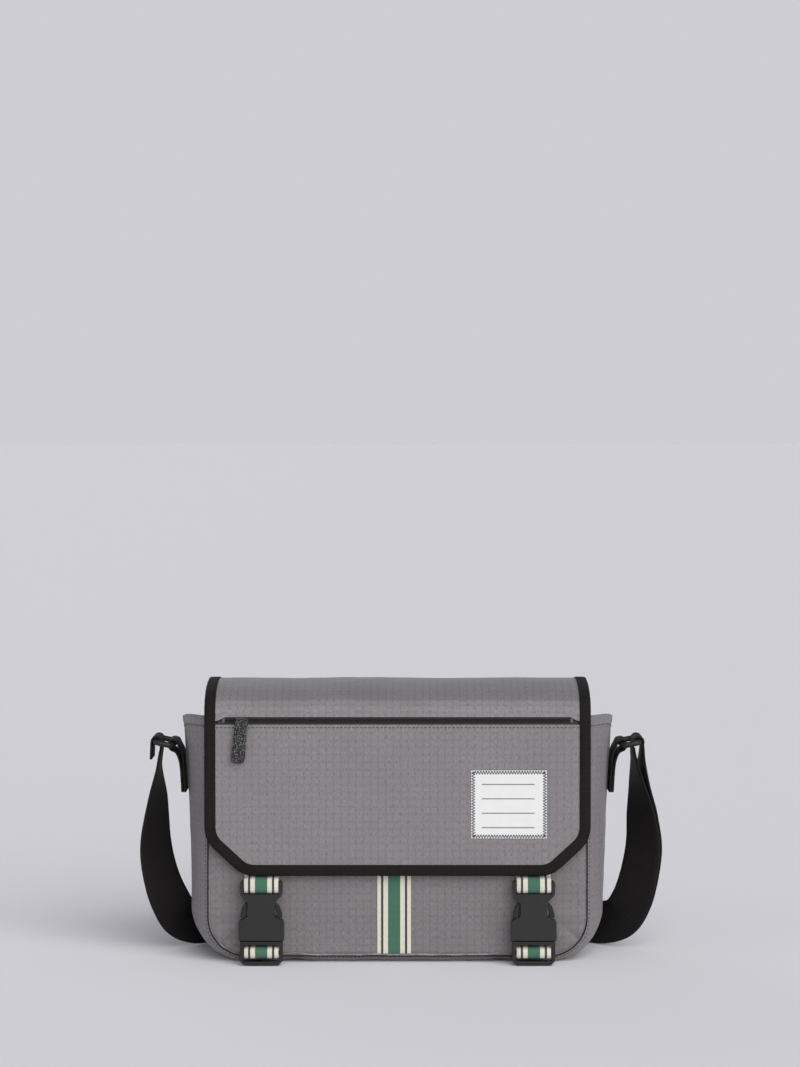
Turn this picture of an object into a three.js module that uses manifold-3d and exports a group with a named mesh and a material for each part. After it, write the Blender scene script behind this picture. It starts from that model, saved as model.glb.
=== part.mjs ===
// A small messenger bag: a soft box of ripstop cloth with a bulging gusset, a flap that folds over
// the mouth and clips shut with two side-release buckles, a zip pocket in the flap, and a shoulder
// strap of webbing on two rings. Millimetres, +Z up, +X to the wearer's left, -Y out of the front.
// The origin is under the middle of the base, on the surface that the bag stands on.
import * as THREE from "three";
import { mergeVertices } from "three/addons/utils/BufferGeometryUtils.js";
import Module from "manifold-3d";

const wasm = await Module();
wasm.setup();

// ---- driving dimensions ----
const GAP = 0.3; // clearance between pieces that touch
const CLOTH = 1.6; // padded ripstop cloth
const CORNER_STEPS = 8; // facets in a quarter turn

// bag body
const PANEL_WIDTH = 277; // front and back panels, seam to seam
const PANEL_CORNER = 28; // radius of their bottom corners
const BODY_DEPTH = 90;
const BASE_DROP = 5; // the base hangs this far below the panels' bottom seams
const BASE_FLAT = 0.8; // share of the depth over which the base is flat
const FRONT_TOP = 176;
const GUSSET_TOP = 181;
const BACK_TOP = 187.5;
const SIDE_BULGE = 14.3; // the gusset's bulge beyond the seams, low down
const MOUTH_FLARE = 7.4; // what the bulge gains at the mouth
const BASE_PANEL_WIDTH = 200;
const LINING = 0.7;
const BOARD = { width: 206, depth: 66, thick: 1.8 };

// flap
const FLAP_WIDTH = 281;
const FLAP_BOTTOM = 65;
const FLAP_CHAMFER = { across: 28, up: 26 };
const FLAP_CLOTH = 1.2;
const FLAP_STACK = 4.6; // binding, front face to back face
const BINDING_WIDTH = 8.2;
const FLAP_FACE = BODY_DEPTH / 2 + 10; // the flap's front face, ahead of the middle
const FOLD = { y: -BODY_DEPTH / 2 - 2.5, z: 194.3 }; // where the flap turns down
const HINGE = { y: BODY_DEPTH / 2 + 1.9, z: 188 }; // the flap's seam on the back panel
const STRAIGHT_TOP = 178; // below this the flap's front is flat

// zip pocket
const ZIP_LENGTH = 256;
const ZIP_SLOT = { low: 175.4, high: 181.1 };
const TAPE = { thick: 0.6, height: 8 };
const COIL = { thick: 0.8, height: 1.5 };
const SLIDER = { x: -113, width: 7 };
const PULL = { width: 10, length: 31, thick: 2.6, tilt: 6 };

// trims
const LABEL = { x: 81, z: 117.4, width: 55, height: 49.5, thick: 0.6 };
const STRIPE = { x: -2.5, width: 24.5, top: 150, thick: 0.5 };

// buckles
const BUCKLE_X = 99;
const WEBBING = { width: 25, thick: 1.5 };
const BUCKLE_Y = -BODY_DEPTH / 2 - 12; // middle plane of both halves
const SLOT_SIDE = 0.6; // webbing to the end of its slot
const EAR_WALL = 2.4; // beside the slots of socket and clip
const UNDER_FLAP = 3; // flap's edge to the socket's top
const SOCKET = { length: 43.3, thick: 8, wall: 1.5, waistIn: 6, skirt: 1 };
const CLIP = { length: 17.1, thick: 7 };
const MOUTH_GAP = 0.8; // clip's frame to the socket's mouth
const ARM = { thick: 4.2, length: 27.8, width: 3, in: 6.7, shoulderIn: 1.2 };

// strap, rings and adjuster
const STRAP = { width: 32, thick: 1.6 };
const RING = { wire: 4.2, gap: 4, out: 27.5, reach: 12.2, rise: 2.5, z: 156.5 };
const TAB = { width: 30, thick: 1.6, low: 121.6 };
const STRAP_Y = 66; // the strap's line behind the bag
const STRAP_RAISED = 20.8; // its middle height where it stands on the adjuster
const LAYER = 2.4; // between the middles of two layers of strap
const ADJUSTER = { x: -45, half: 12, bar: 3, centre: 2 };
const LOOP_TAIL = 28; // the strap's sewn end, past the adjuster's centre bar
const INNER_BACK_END = 39.5;

// ---- materials ----
const finish = (color, roughness, metalness = 0) =>
  new THREE.MeshStandardMaterial({ color, roughness, metalness });
const GREY_CLOTH = finish(0x7d797c, 0.75);
const BLACK_CLOTH = finish(0x26241f, 0.85);
const BLACK_WEBBING = finish(0x1d1a1b, 0.8);
const BLACK_PLASTIC = finish(0x2f2e2f, 0.5);
const BLACK_LEATHER = finish(0x1e1d1e, 0.45);
const LINING_CLOTH = finish(0x3a3a40, 0.7);
const WHITE_TAPE = finish(0xf0f0ee, 0.7);
const BOARD_PLASTIC = finish(0x55565a, 0.6);
const DARK_METAL = finish(0x2a2a2c, 0.35, 0.8);

const bag = new THREE.Group();

function addPiece(name, geometry, material) {
  const piece = new THREE.Mesh(geometry, material);
  piece.name = name;
  bag.add(piece);
  return piece;
}

// ---- shapes ----
// Turns a shape's (u, v) and depth into (y, z) and x.
const ALONG_X = new THREE.Matrix4().set(0, 0, 1, 0, 1, 0, 0, 0, 0, 1, 0, 0, 0, 0, 0, 1);
// Turns a shape's (u, v) and depth into (x, z) and -y.
const ALONG_Y = new THREE.Matrix4().set(1, 0, 0, 0, 0, 0, -1, 0, 0, 1, 0, 0, 0, 0, 0, 1);

function extruded(shape, depth) {
  return new THREE.ExtrudeGeometry(shape, { depth, bevelEnabled: false, curveSegments: CORNER_STEPS });
}

// A (y, z) shape from x = low to x = high.
function acrossX(shape, low, high) {
  return extruded(shape, high - low).applyMatrix4(ALONG_X).translate(low, 0, 0);
}

// An (x, z) shape from y = low to y = high.
function acrossY(shape, low, high) {
  return extruded(shape, high - low).applyMatrix4(ALONG_Y).translate(0, high, 0);
}

// An (x, y) shape from z = low to z = high.
function acrossZ(shape, low, high) {
  return extruded(shape, high - low).translate(0, 0, low);
}

function polygon(points) {
  return new THREE.Shape(points.map(([u, v]) => new THREE.Vector2(u, v)));
}

function rectangle(u0, v0, u1, v1) {
  return polygon([[u0, v0], [u1, v0], [u1, v1], [u0, v1]]);
}

function box(x0, x1, y0, y1, z0, z1) {
  return acrossX(rectangle(y0, z0, y1, z1), x0, x1);
}

// The outline of a strip of an even thickness along a smooth line through the points, or through those
// from number first to number last.
function strip(points, thick, steps = 24, first = 0, last = points.length - 1) {
  const line = new THREE.SplineCurve(points.map(([u, v]) => new THREE.Vector2(u, v)));
  const sides = [[], []];
  for (let i = 0; i <= steps; i++) {
    const t = THREE.MathUtils.lerp(first, last, i / steps) / (points.length - 1);
    const at = line.getPoint(t);
    const along = line.getTangent(t);
    const normal = new THREE.Vector2(-along.y, along.x).multiplyScalar(thick / 2);
    sides[0].push(at.clone().add(normal));
    sides[1].push(at.clone().sub(normal));
  }
  return new THREE.Shape([...sides[0], ...sides[1].reverse()]);
}

// The same points, each moved sideways from the line.
function moved(points, distance) {
  const line = new THREE.SplineCurve(points.map(([u, v]) => new THREE.Vector2(u, v)));
  return points.map((_, i) => {
    const t = i / (points.length - 1);
    const along = line.getTangent(t);
    const at = line.getPoint(t);
    return [at.x - along.y * distance, at.y + along.x * distance];
  });
}

const mirrored = (points) => points.map(([u, v]) => [-u, v]);

// A closed surface through rings of equal length. The second half of a ring runs back beside the first,
// so each end is closed by the strip between the two halves.
function loft(rings) {
  const size = rings[0].length;
  const index = [];
  for (let r = 0; r + 1 < rings.length; r++)
    for (let i = 0; i < size; i++) {
      const j = (i + 1) % size;
      const [a, b, c, d] = [r * size + i, r * size + j, (r + 1) * size + j, (r + 1) * size + i];
      index.push(a, b, c, a, c, d);
    }
  const last = (rings.length - 1) * size;
  for (let i = 0; i + 1 < size / 2; i++) {
    const [a, b, c, d] = [i, i + 1, size - 2 - i, size - 1 - i];
    index.push(a, c, b, a, d, c, last + a, last + b, last + c, last + a, last + c, last + d);
  }
  return new THREE.BufferGeometry().setFromPoints(rings.flat()).setIndex(index);
}

// ---- solids that need a join or a cut ----
function solidOf(geometry) {
  const bare = geometry.clone();
  bare.deleteAttribute("normal");
  bare.deleteAttribute("uv");
  const merged = mergeVertices(bare, 1e-4);
  const vertProperties = new Float32Array(merged.attributes.position.array);
  const triVerts = new Uint32Array(merged.index.array);
  return new wasm.Manifold(new wasm.Mesh({ numProp: 3, vertProperties, triVerts }));
}

function geometryOf(solid) {
  const made = solid.getMesh();
  return new THREE.BufferGeometry()
    .setAttribute("position", new THREE.BufferAttribute(made.vertProperties, 3))
    .setIndex(new THREE.BufferAttribute(made.triVerts, 1));
}

const joined = (...geometries) => geometryOf(geometries.map(solidOf).reduce((a, b) => a.add(b)));
const cut = (from, ...tools) =>
  geometryOf(tools.map(solidOf).reduce((a, b) => a.subtract(b), solidOf(from)));

// ---- bag body ----
const HALF_WIDTH = PANEL_WIDTH / 2;
const HALF_DEPTH = BODY_DEPTH / 2;
const RING_BARS = {
  inner: { x: HALF_WIDTH + RING.out, z: RING.z },
  outer: { x: HALF_WIDTH + RING.out + RING.reach, z: RING.z + RING.rise },
};
const SEAM_Z = BASE_DROP;

// The gusset's bulge beyond the side seam at a height.
const sideBulge = (z) => SIDE_BULGE + MOUTH_FLARE * Math.max(0, z / GUSSET_TOP) ** 2.2;
// The outermost face of the gusset at a height above the corner, as a distance from the middle.
const sideFace = (z) => HALF_WIDTH + sideBulge(z);

// The outline of a panel, in from the seam by inset, up to the height top.
function panelShape(inset, top) {
  const [half, low, corner] = [HALF_WIDTH - inset, SEAM_Z + inset, PANEL_CORNER - inset];
  const shape = new THREE.Shape();
  shape.moveTo(half, top);
  shape.lineTo(-half, top);
  shape.lineTo(-half, low + corner);
  shape.absarc(-half + corner, low + corner, corner, Math.PI, 1.5 * Math.PI, false);
  shape.lineTo(half - corner, low);
  shape.absarc(half - corner, low + corner, corner, 1.5 * Math.PI, 2 * Math.PI, false);
  return shape;
}

// A point of the seam line and what the gusset does there: turn is 0 down the side and 1 under the base.
function seamAt(z, turn) {
  const angle = (turn * Math.PI) / 2;
  const corner = new THREE.Vector2(HALF_WIDTH - PANEL_CORNER, SEAM_Z + PANEL_CORNER);
  const out = new THREE.Vector2(Math.cos(angle), -Math.sin(angle));
  const at = turn > 0 ? out.clone().multiplyScalar(PANEL_CORNER).add(corner) : new THREE.Vector2(HALF_WIDTH, z);
  return { at, out, bulge: THREE.MathUtils.lerp(sideBulge(z), BASE_DROP, turn), turn };
}

// The gusset's section across the depth, t from -1 to 1, as a share of its bulge.
function bulgeShare(t, turn) {
  const side = 1 - Math.abs(t) ** 2.2;
  const base = Math.min(1, (1 - Math.abs(t)) / (1 - BASE_FLAT));
  return THREE.MathUtils.lerp(side, base, turn);
}

function gussetRings(stations, side) {
  const across = [-1, -0.9, -0.8, -0.6, -0.4, -0.2, 0, 0.2, 0.4, 0.6, 0.8, 0.9, 1];
  return stations.map(({ at, out, bulge, turn }) => {
    const face = (t, inward) => {
      const reach = bulge * bulgeShare(t, turn) - inward;
      return new THREE.Vector3(side * (at.x + out.x * reach), t * HALF_DEPTH, at.y + out.y * reach);
    };
    return [...across.map((t) => face(t, 0)), ...across.toReversed().map((t) => face(t, CLOTH))];
  });
}

function sideGusset(side) {
  const cornerTop = SEAM_Z + PANEL_CORNER;
  const stations = [];
  for (let i = 0; i <= 12; i++) stations.push(seamAt(THREE.MathUtils.lerp(GUSSET_TOP, cornerTop, i / 12), 0));
  for (let i = 1; i <= CORNER_STEPS; i++) stations.push(seamAt(cornerTop, i / CORNER_STEPS));
  const end = seamAt(cornerTop, 1);
  end.at.x = BASE_PANEL_WIDTH / 2 + GAP;
  stations.push(end);
  const rings = gussetRings(stations, side);
  return loft(side < 0 ? rings : rings.toReversed());
}

function basePanel() {
  const ends = [-1, 1].map((x) => {
    const station = seamAt(0, 1);
    station.at.x = (x * BASE_PANEL_WIDTH) / 2;
    return station;
  });
  return loft(gussetRings(ends, 1));
}

// The lining: a thin open box a little inside the panels and the gusset.
function liningCup() {
  const floor = SEAM_Z + 0.2;
  const levels = [floor, floor + 4, 14, 22, 34, 60, 100, 140, FRONT_TOP - 2];
  const ring = (z, inset) => {
    const low = SEAM_Z + PANEL_CORNER;
    const rise = Math.max(0, low - z) / PANEL_CORNER;
    const seam = HALF_WIDTH - PANEL_CORNER * (1 - Math.sqrt(Math.max(0, 1 - rise * rise)));
    const bulge = sideBulge(z) * (1 - rise);
    const depth = HALF_DEPTH - CLOTH - GAP - inset - (z === floor ? 4 : 0);
    const points = [];
    for (const side of [1, -1])
      for (const t of [-1, -0.75, -0.4, 0, 0.4, 0.75, 1]) {
        const x = seam + bulge * (1 - Math.abs(t) ** 2.2) - CLOTH - 4 * GAP - inset;
        points.push(new THREE.Vector3(side * x, side * t * depth, z));
      }
    return points;
  };
  const outside = levels.map((z) => ring(z, 0));
  const inside = levels.map((z, i) => ring(z, LINING).map((p) => (i ? p : p.setZ(z + LINING)))).toReversed();
  return loft([...outside, ...inside]);
}

const PANEL_INSET = CLOTH + GAP;
addPiece("front_panel", acrossY(panelShape(PANEL_INSET, FRONT_TOP), -HALF_DEPTH, CLOTH - HALF_DEPTH), GREY_CLOTH);
addPiece("back_panel", acrossY(panelShape(PANEL_INSET, BACK_TOP), HALF_DEPTH - CLOTH, HALF_DEPTH), GREY_CLOTH);
addPiece("left_gusset", sideGusset(-1), GREY_CLOTH);
addPiece("right_gusset", sideGusset(1), GREY_CLOTH);
addPiece("base_panel", basePanel(), GREY_CLOTH);
addPiece("lining", liningCup(), LINING_CLOTH);
const BOARD_Z = CLOTH + GAP;
addPiece(
  "base_board",
  box(-BOARD.width / 2, BOARD.width / 2, -BOARD.depth / 2, BOARD.depth / 2, BOARD_Z, BOARD_Z + BOARD.thick),
  BOARD_PLASTIC,
);
addPiece(
  "centre_stripe",
  box(
    STRIPE.x - STRIPE.width / 2, STRIPE.x + STRIPE.width / 2,
    -HALF_DEPTH - GAP - STRIPE.thick, -HALF_DEPTH - GAP, SEAM_Z + PANEL_INSET, STRIPE.top,
  ),
  WHITE_TAPE,
);

// ---- flap ----
// The flap's outer face from its hinge, over the mouth to the fold, and on down to the flat front.
const FLAP_LINE = [
  [HINGE.y - 0.3, HINGE.z + 0.5], [HALF_DEPTH + 0.9, HINGE.z + 6], [HALF_DEPTH - 5.5, HINGE.z + 12.8],
  [HALF_DEPTH * 0.33, HINGE.z + 16.2], [-HALF_DEPTH * 0.27, HINGE.z + 15.4], [11 - HALF_DEPTH, FOLD.z + 5.5],
  [FOLD.y, FOLD.z], [FOLD.y - 4.3, FOLD.z - 4.5], [-FLAP_FACE + 0.7, FOLD.z - 9.9], [-FLAP_FACE, STRAIGHT_TOP],
];
const FOLD_AT = 6; // the fold's place in that line
const FOLD_GAP = 0.03; // half the space left at the fold, in steps of that line
const HALF_FLAP = FLAP_WIDTH / 2;
const INNER_FLAP = HALF_FLAP - BINDING_WIDTH - GAP; // half the width of the cloth between the bindings
const BINDING_PROUD = 0.6; // the binding stands ahead of the cloth it wraps
const FACE = -FLAP_FACE;

// Layers of the front, each as [front face, back face].
const OUTER_LAYER = [FACE, FACE + FLAP_CLOTH];
const TAPE_LAYER = [OUTER_LAYER[1] + GAP, OUTER_LAYER[1] + GAP + TAPE.thick];
const POCKET_LAYER = [TAPE_LAYER[1] + GAP, TAPE_LAYER[1] + GAP + 0.4];
const LINING_LAYER = [POCKET_LAYER[1] + GAP, POCKET_LAYER[1] + GAP + 0.6];
const BINDING_LAYER = [FACE - BINDING_PROUD, FACE - BINDING_PROUD + FLAP_STACK];

// The flap's front outline, in from its edge by inset, between two heights.
function flapShape(inset, top, bottom = FLAP_BOTTOM + inset) {
  const half = HALF_FLAP - inset;
  const slope = inset * 0.41; // keeps the chamfer's edge as far in as the sides
  const [across, up] = [FLAP_CHAMFER.across - slope, FLAP_CHAMFER.up - slope];
  if (bottom > FLAP_BOTTOM + inset) return rectangle(-half, bottom, half, top);
  return polygon([
    [half, top], [-half, top], [-half, bottom + up], [-half + across, bottom], [half - across, bottom], [half, bottom + up],
  ]);
}

// A layer of the flap, sunk by depth below the outer face, over the mouth or down the front of the fold.
const topLayer = (depth, thick) => strip(moved(FLAP_LINE, depth + thick / 2), thick, 26, 0, FOLD_AT - FOLD_GAP);
const foldLayer = (depth, thick, last) =>
  strip(moved(FLAP_LINE, depth + thick / 2), thick, 14, FOLD_AT + FOLD_GAP, last);
const LINING_DEPTH = LINING_LAYER[0] - FACE;

addPiece("flap_top_panel", acrossX(topLayer(0, FLAP_CLOTH), -INNER_FLAP, INNER_FLAP), GREY_CLOTH);
addPiece("flap_top_lining", acrossX(topLayer(LINING_DEPTH, 0.6), -INNER_FLAP, INNER_FLAP), LINING_CLOTH);
for (const [name, side] of [["left_top_binding", -1], ["right_top_binding", 1]]) {
  const ends = [side * HALF_FLAP, side * (HALF_FLAP - BINDING_WIDTH)].sort((a, b) => a - b);
  addPiece(name, acrossX(topLayer(-BINDING_PROUD, FLAP_STACK), ...ends), BLACK_CLOTH);
}

const WELT_END = FOLD_AT + 2.5; // where the line comes down to the zip slot
addPiece("flap_welt", acrossX(foldLayer(0, FLAP_CLOTH, WELT_END), -INNER_FLAP, INNER_FLAP), GREY_CLOTH);
addPiece("flap_front_panel", acrossY(flapShape(BINDING_WIDTH + GAP, ZIP_SLOT.low), ...OUTER_LAYER), GREY_CLOTH);
addPiece("flap_front_lining", acrossY(flapShape(BINDING_WIDTH + GAP, STRAIGHT_TOP), ...LINING_LAYER), LINING_CLOTH);
addPiece("zip_pocket_bag", acrossY(flapShape(BINDING_WIDTH + 4, ZIP_SLOT.low - 4), ...POCKET_LAYER), LINING_CLOTH);

function frontBinding() {
  const outer = acrossY(flapShape(0, STRAIGHT_TOP), ...BINDING_LAYER);
  const inner = acrossY(flapShape(BINDING_WIDTH, STRAIGHT_TOP + 1, FLAP_BOTTOM + BINDING_WIDTH), FACE - 5, FACE + 9);
  const curved = [-1, 1].map((side) => {
    const ends = [side * HALF_FLAP, side * (HALF_FLAP - BINDING_WIDTH)].sort((a, b) => a - b);
    return solidOf(acrossX(foldLayer(-BINDING_PROUD, FLAP_STACK, FLAP_LINE.length - 1), ...ends));
  });
  return geometryOf(curved.reduce((a, b) => a.add(b), solidOf(outer).subtract(solidOf(inner))));
}
addPiece("front_binding", frontBinding(), BLACK_CLOTH);
addPiece(
  "label_patch",
  box(
    LABEL.x - LABEL.width / 2, LABEL.x + LABEL.width / 2,
    FACE - GAP - LABEL.thick, FACE - GAP, LABEL.z - LABEL.height / 2, LABEL.z + LABEL.height / 2,
  ),
  WHITE_TAPE,
);

// ---- zip ----
const ZIP_Z = (ZIP_SLOT.low + ZIP_SLOT.high) / 2;
const HALF_ZIP = ZIP_LENGTH / 2;
const COIL_FRONT = TAPE_LAYER[0] - GAP - COIL.thick;
for (const [name, side] of [["upper", 1], ["lower", -1]]) {
  const near = ZIP_Z + (side * GAP) / 2;
  const span = (height) => [near, near + side * height].sort((a, b) => a - b);
  addPiece(`zip_${name}_tape`, box(-HALF_ZIP, HALF_ZIP, ...TAPE_LAYER, ...span(side > 0 ? 1.9 : TAPE.height)), BLACK_CLOTH);
  addPiece(`zip_${name}_coil`, box(-HALF_ZIP + 3, HALF_ZIP - 3, COIL_FRONT, COIL_FRONT + COIL.thick, ...span(COIL.height)), BLACK_PLASTIC);
}
for (const [name, side] of [["left", -1], ["right", 1]]) {
  const ends = [side * (HALF_ZIP - 2.6), side * (HALF_ZIP - 0.4)].sort((a, b) => a - b);
  addPiece(`zip_${name}_stop`, box(...ends, COIL_FRONT, COIL_FRONT + COIL.thick, ZIP_Z - 1.6, ZIP_Z + 1.6), DARK_METAL);
}

// The slider's plate and flanges hold the coils, and its bridge holds the pull.
const PLATE_Y = COIL_FRONT - GAP;
const PIVOT = { y: PLATE_Y - 2.6, z: ZIP_Z };
function zipSlider() {
  const half = SLIDER.width / 2;
  const flange = COIL.height + GAP / 2 + 0.2;
  const plate = box(-half, half, PLATE_Y - 0.9, PLATE_Y, ZIP_Z - flange - 0.45, ZIP_Z + flange + 0.45);
  const flanges = [1, -1].map((side) => {
    const span = [ZIP_Z + side * flange, ZIP_Z + side * (flange + 0.45)].sort((a, b) => a - b);
    return box(-half, half, PLATE_Y - 0.2, PLATE_Y + COIL.thick + 0.2, ...span);
  });
  const bridge = cut(
    box(-1.3, 1.3, PIVOT.y - 1.6, PLATE_Y - 0.6, ZIP_Z - 2.2, ZIP_Z + 2.2),
    box(-3, 3, PIVOT.y - 0.9, PLATE_Y - 0.95, ZIP_Z - 1.3, ZIP_Z + 1.3),
  );
  return joined(plate, ...flanges, bridge).translate(SLIDER.x, 0, 0);
}
addPiece("zip_slider", zipSlider(), DARK_METAL);

// The pull: a wire loop through the bridge and a leather tab that hangs from it, leaning a little.
function leaning(geometry) {
  const lean = THREE.MathUtils.degToRad(PULL.tilt);
  return geometry.rotateY(lean).translate(SLIDER.x, PIVOT.y, PIVOT.z);
}
function pullLoop() {
  const wire = 0.55;
  const half = 3;
  const bars = [
    box(-half, half, -wire, wire, -wire, wire),
    box(-half, half, -wire, wire, -5.6 - wire, -5.6 + wire),
    box(-half, -half + 2 * wire, -wire, wire, -5.6, 0),
    box(half - 2 * wire, half, -wire, wire, -5.6, 0),
  ];
  return leaning(joined(...bars));
}
function pullTab() {
  const [half, top, bottom] = [PULL.width / 2, -3.4, -PULL.length];
  const shape = new THREE.Shape();
  shape.moveTo(half * 0.86, top);
  shape.lineTo(-half * 0.86, top);
  shape.lineTo(-half, bottom + half);
  shape.absarc(0, bottom + half, half, Math.PI, 2 * Math.PI, false);
  const blank = acrossY(shape, -PULL.thick / 2, PULL.thick / 2);
  const slot = box(-3.4, 3.4, -0.9, 0.9, -6.6, 0);
  return leaning(cut(blank, slot));
}
addPiece("pull_loop", pullLoop(), DARK_METAL);
addPiece("pull_tab", pullTab(), BLACK_LEATHER);

// ---- buckles ----
// The socket: front and back plates with a waist, closed at the sides of the mouth, and a slot for webbing.
const HALF_SLOT = WEBBING.width / 2 + SLOT_SIDE;
const HALF_EAR = HALF_SLOT + EAR_WALL;
const HALF_SOCKET = HALF_EAR + SOCKET.skirt;
const SOCKET_TOP = FLAP_BOTTOM - UNDER_FLAP;
const MOUTH_Z = SOCKET_TOP - SOCKET.length;
const SKIRT_TOP = MOUTH_Z + 14.3;
const WAIST = { low: MOUTH_Z + 18.8, high: MOUTH_Z + 28.3, shoulder: MOUTH_Z + 31.8 };
const SLOT_LOW = SOCKET_TOP - 9.5;
const SOCKET_BAR = { y: BUCKLE_Y, z: SOCKET_TOP - 1.9, radius: 1.8 };

// The outline of the socket in front view.
function socketShape() {
  const waist = HALF_EAR - SOCKET.waistIn;
  const shape = new THREE.Shape();
  shape.moveTo(-HALF_SOCKET, MOUTH_Z);
  shape.lineTo(HALF_SOCKET, MOUTH_Z);
  shape.lineTo(HALF_SOCKET, SKIRT_TOP - 2);
  shape.quadraticCurveTo(HALF_SOCKET, SKIRT_TOP, HALF_SOCKET - 2, SKIRT_TOP + 0.8);
  shape.quadraticCurveTo(waist, SKIRT_TOP + 2.5, waist, WAIST.low);
  shape.lineTo(waist, WAIST.high - 2);
  shape.quadraticCurveTo(waist, WAIST.high, HALF_EAR - 1.5, WAIST.shoulder);
  shape.quadraticCurveTo(HALF_EAR, WAIST.shoulder + 1.5, HALF_EAR, SLOT_LOW + 3);
  shape.lineTo(HALF_EAR, SOCKET_TOP - 3);
  shape.quadraticCurveTo(HALF_EAR, SOCKET_TOP, HALF_EAR - 3, SOCKET_TOP);
  shape.lineTo(-HALF_EAR + 3, SOCKET_TOP);
  shape.quadraticCurveTo(-HALF_EAR, SOCKET_TOP, -HALF_EAR, SOCKET_TOP - 3);
  shape.lineTo(-HALF_EAR, SLOT_LOW + 3);
  shape.quadraticCurveTo(-HALF_EAR, WAIST.shoulder + 1.5, -HALF_EAR + 1.5, WAIST.shoulder);
  shape.quadraticCurveTo(-waist, WAIST.high, -waist, WAIST.high - 2);
  shape.lineTo(-waist, WAIST.low);
  shape.quadraticCurveTo(-waist, SKIRT_TOP + 2.5, -HALF_SOCKET + 2, SKIRT_TOP + 0.8);
  shape.quadraticCurveTo(-HALF_SOCKET, SKIRT_TOP, -HALF_SOCKET, SKIRT_TOP - 2);
  return shape;
}

function socket() {
  const [front, back] = [BUCKLE_Y - SOCKET.thick / 2, BUCKLE_Y + SOCKET.thick / 2];
  const [inFront, inBack] = [front + SOCKET.wall, back - SOCKET.wall];
  const cavity = HALF_SOCKET - 2;
  const wide = HALF_SOCKET + 1;
  const { y, z, radius } = SOCKET_BAR;
  return joined(
    cut(
      acrossY(socketShape(), front, back),
      box(-cavity, cavity, inFront, inBack, MOUTH_Z - 1, SKIRT_TOP + 0.3),
      box(-wide, wide, inFront, inBack, SKIRT_TOP, WAIST.high),
      box(-HALF_SLOT, HALF_SLOT, front - 1, back + 1, SLOT_LOW, SOCKET_TOP + 1),
    ),
    acrossX(new THREE.Shape().absarc(y, z, radius, 0, 2 * Math.PI), -HALF_SLOT - 1, HALF_SLOT + 1),
  );
}

// The clip's frame: a window with a bar across it for webbing.
const CLIP_TOP = MOUTH_Z - MOUTH_GAP;
const CLIP_LOW = CLIP_TOP - CLIP.length;
const CLIP_WINDOW = { low: CLIP_LOW + 2.8, high: CLIP_TOP - 2.5 };
const CLIP_BAR = { y: BUCKLE_Y, z: (CLIP_WINDOW.low + CLIP_WINDOW.high) / 2, radius: 1.6 };
function clipFrame() {
  const half = HALF_EAR;
  const [front, back] = [BUCKLE_Y - CLIP.thick / 2, BUCKLE_Y + CLIP.thick / 2];
  const corner = 3;
  const shape = polygon([
    [half, CLIP_TOP], [-half, CLIP_TOP], [-half, CLIP_LOW + corner], [-half + corner, CLIP_LOW],
    [half - corner, CLIP_LOW], [half, CLIP_LOW + corner],
  ]);
  const { y, z, radius } = CLIP_BAR;
  return joined(
    cut(
      acrossY(shape, front, back),
      box(-HALF_SLOT, HALF_SLOT, front - 1, back + 1, CLIP_WINDOW.low, CLIP_WINDOW.high),
    ),
    acrossX(new THREE.Shape().absarc(y, z, radius, 0, 2 * Math.PI), -HALF_SLOT - 1, HALF_SLOT + 1),
  );
}

// A latch arm, springing from the clip's top edge, with a shoulder that catches in the socket's side.
function latchArm(side) {
  const [low, inner] = [CLIP_TOP + GAP, HALF_SOCKET - ARM.in];
  const [tip, outer, shoulder] = [low + ARM.length, inner + ARM.width, HALF_SOCKET - ARM.shoulderIn];
  const points = [
    [inner, low], [outer, low], [outer + 0.2, SKIRT_TOP - 2], [outer + 0.6, SKIRT_TOP + 1.8],
    [shoulder, SKIRT_TOP + 2.4], [shoulder - 0.5, tip - 7], [shoulder - 1.9, tip - 3], [shoulder - 3.7, tip - 0.6],
    [shoulder - 4.9, tip], [inner + 0.2, tip - 3], [inner + 1.4, tip - 8], [inner, SKIRT_TOP - 2],
  ];
  const shape = polygon(side > 0 ? points : mirrored(points));
  return acrossY(shape, BUCKLE_Y - ARM.thick / 2, BUCKLE_Y + ARM.thick / 2);
}

// Webbing from under the flap, round the socket's top bar, and back up. Its turn is placed from the bar.
const FLAP_BACK = FACE + FLAP_STACK;
const UPPER_LAYERS = [FLAP_BACK + 1, FLAP_BACK + 3.2];
const UPPER_TURN = [
  [7.7, 6.25], [6.8, 3.65], [3.6, 3.05], [-0.4, 3.15], [-2.9, 2.65], [-3.5, 0.15], [-3, -2.65], [-1.2, -4.05],
  [1.4, -4.15], [3.2, -2.65], [4.6, -0.85], [7.4, 0.75], [9.7, 4.55],
];
const UPPER_LOOP = [
  [UPPER_LAYERS[0], FLAP_BOTTOM + 19], [UPPER_LAYERS[0], FLAP_BOTTOM + 4],
  ...UPPER_TURN.map(([y, z]) => [SOCKET_BAR.y + y, SOCKET_BAR.z + z]),
  [UPPER_LAYERS[1], FLAP_BOTTOM + 4], [UPPER_LAYERS[1], FLAP_BOTTOM + 19],
];
// Webbing from the front seam, over the clip's bar, under it and back to the seam.
const LOWER_TURN = [
  [8, 3.75], [3.8, 3.85], [0, 3.35], [-2.9, 2.35], [-3.7, -0.15], [-2.6, -2.75], [0, -3.45], [3.4, -2.05],
  [6.4, -0.25], [8.6, -0.75],
];
const SEAM_LAYERS = [-HALF_DEPTH - 1.1, -HALF_DEPTH - 2.95];
const LOWER_LOOP = [
  [SEAM_LAYERS[0], SEAM_Z + 2.4], [SEAM_LAYERS[0] - 0.3, CLIP_BAR.z + 1.25],
  ...LOWER_TURN.map(([y, z]) => [CLIP_BAR.y + y, CLIP_BAR.z + z]),
  [SEAM_LAYERS[1], CLIP_BAR.z - 3.15], [SEAM_LAYERS[1], SEAM_Z - 0.4],
];

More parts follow.
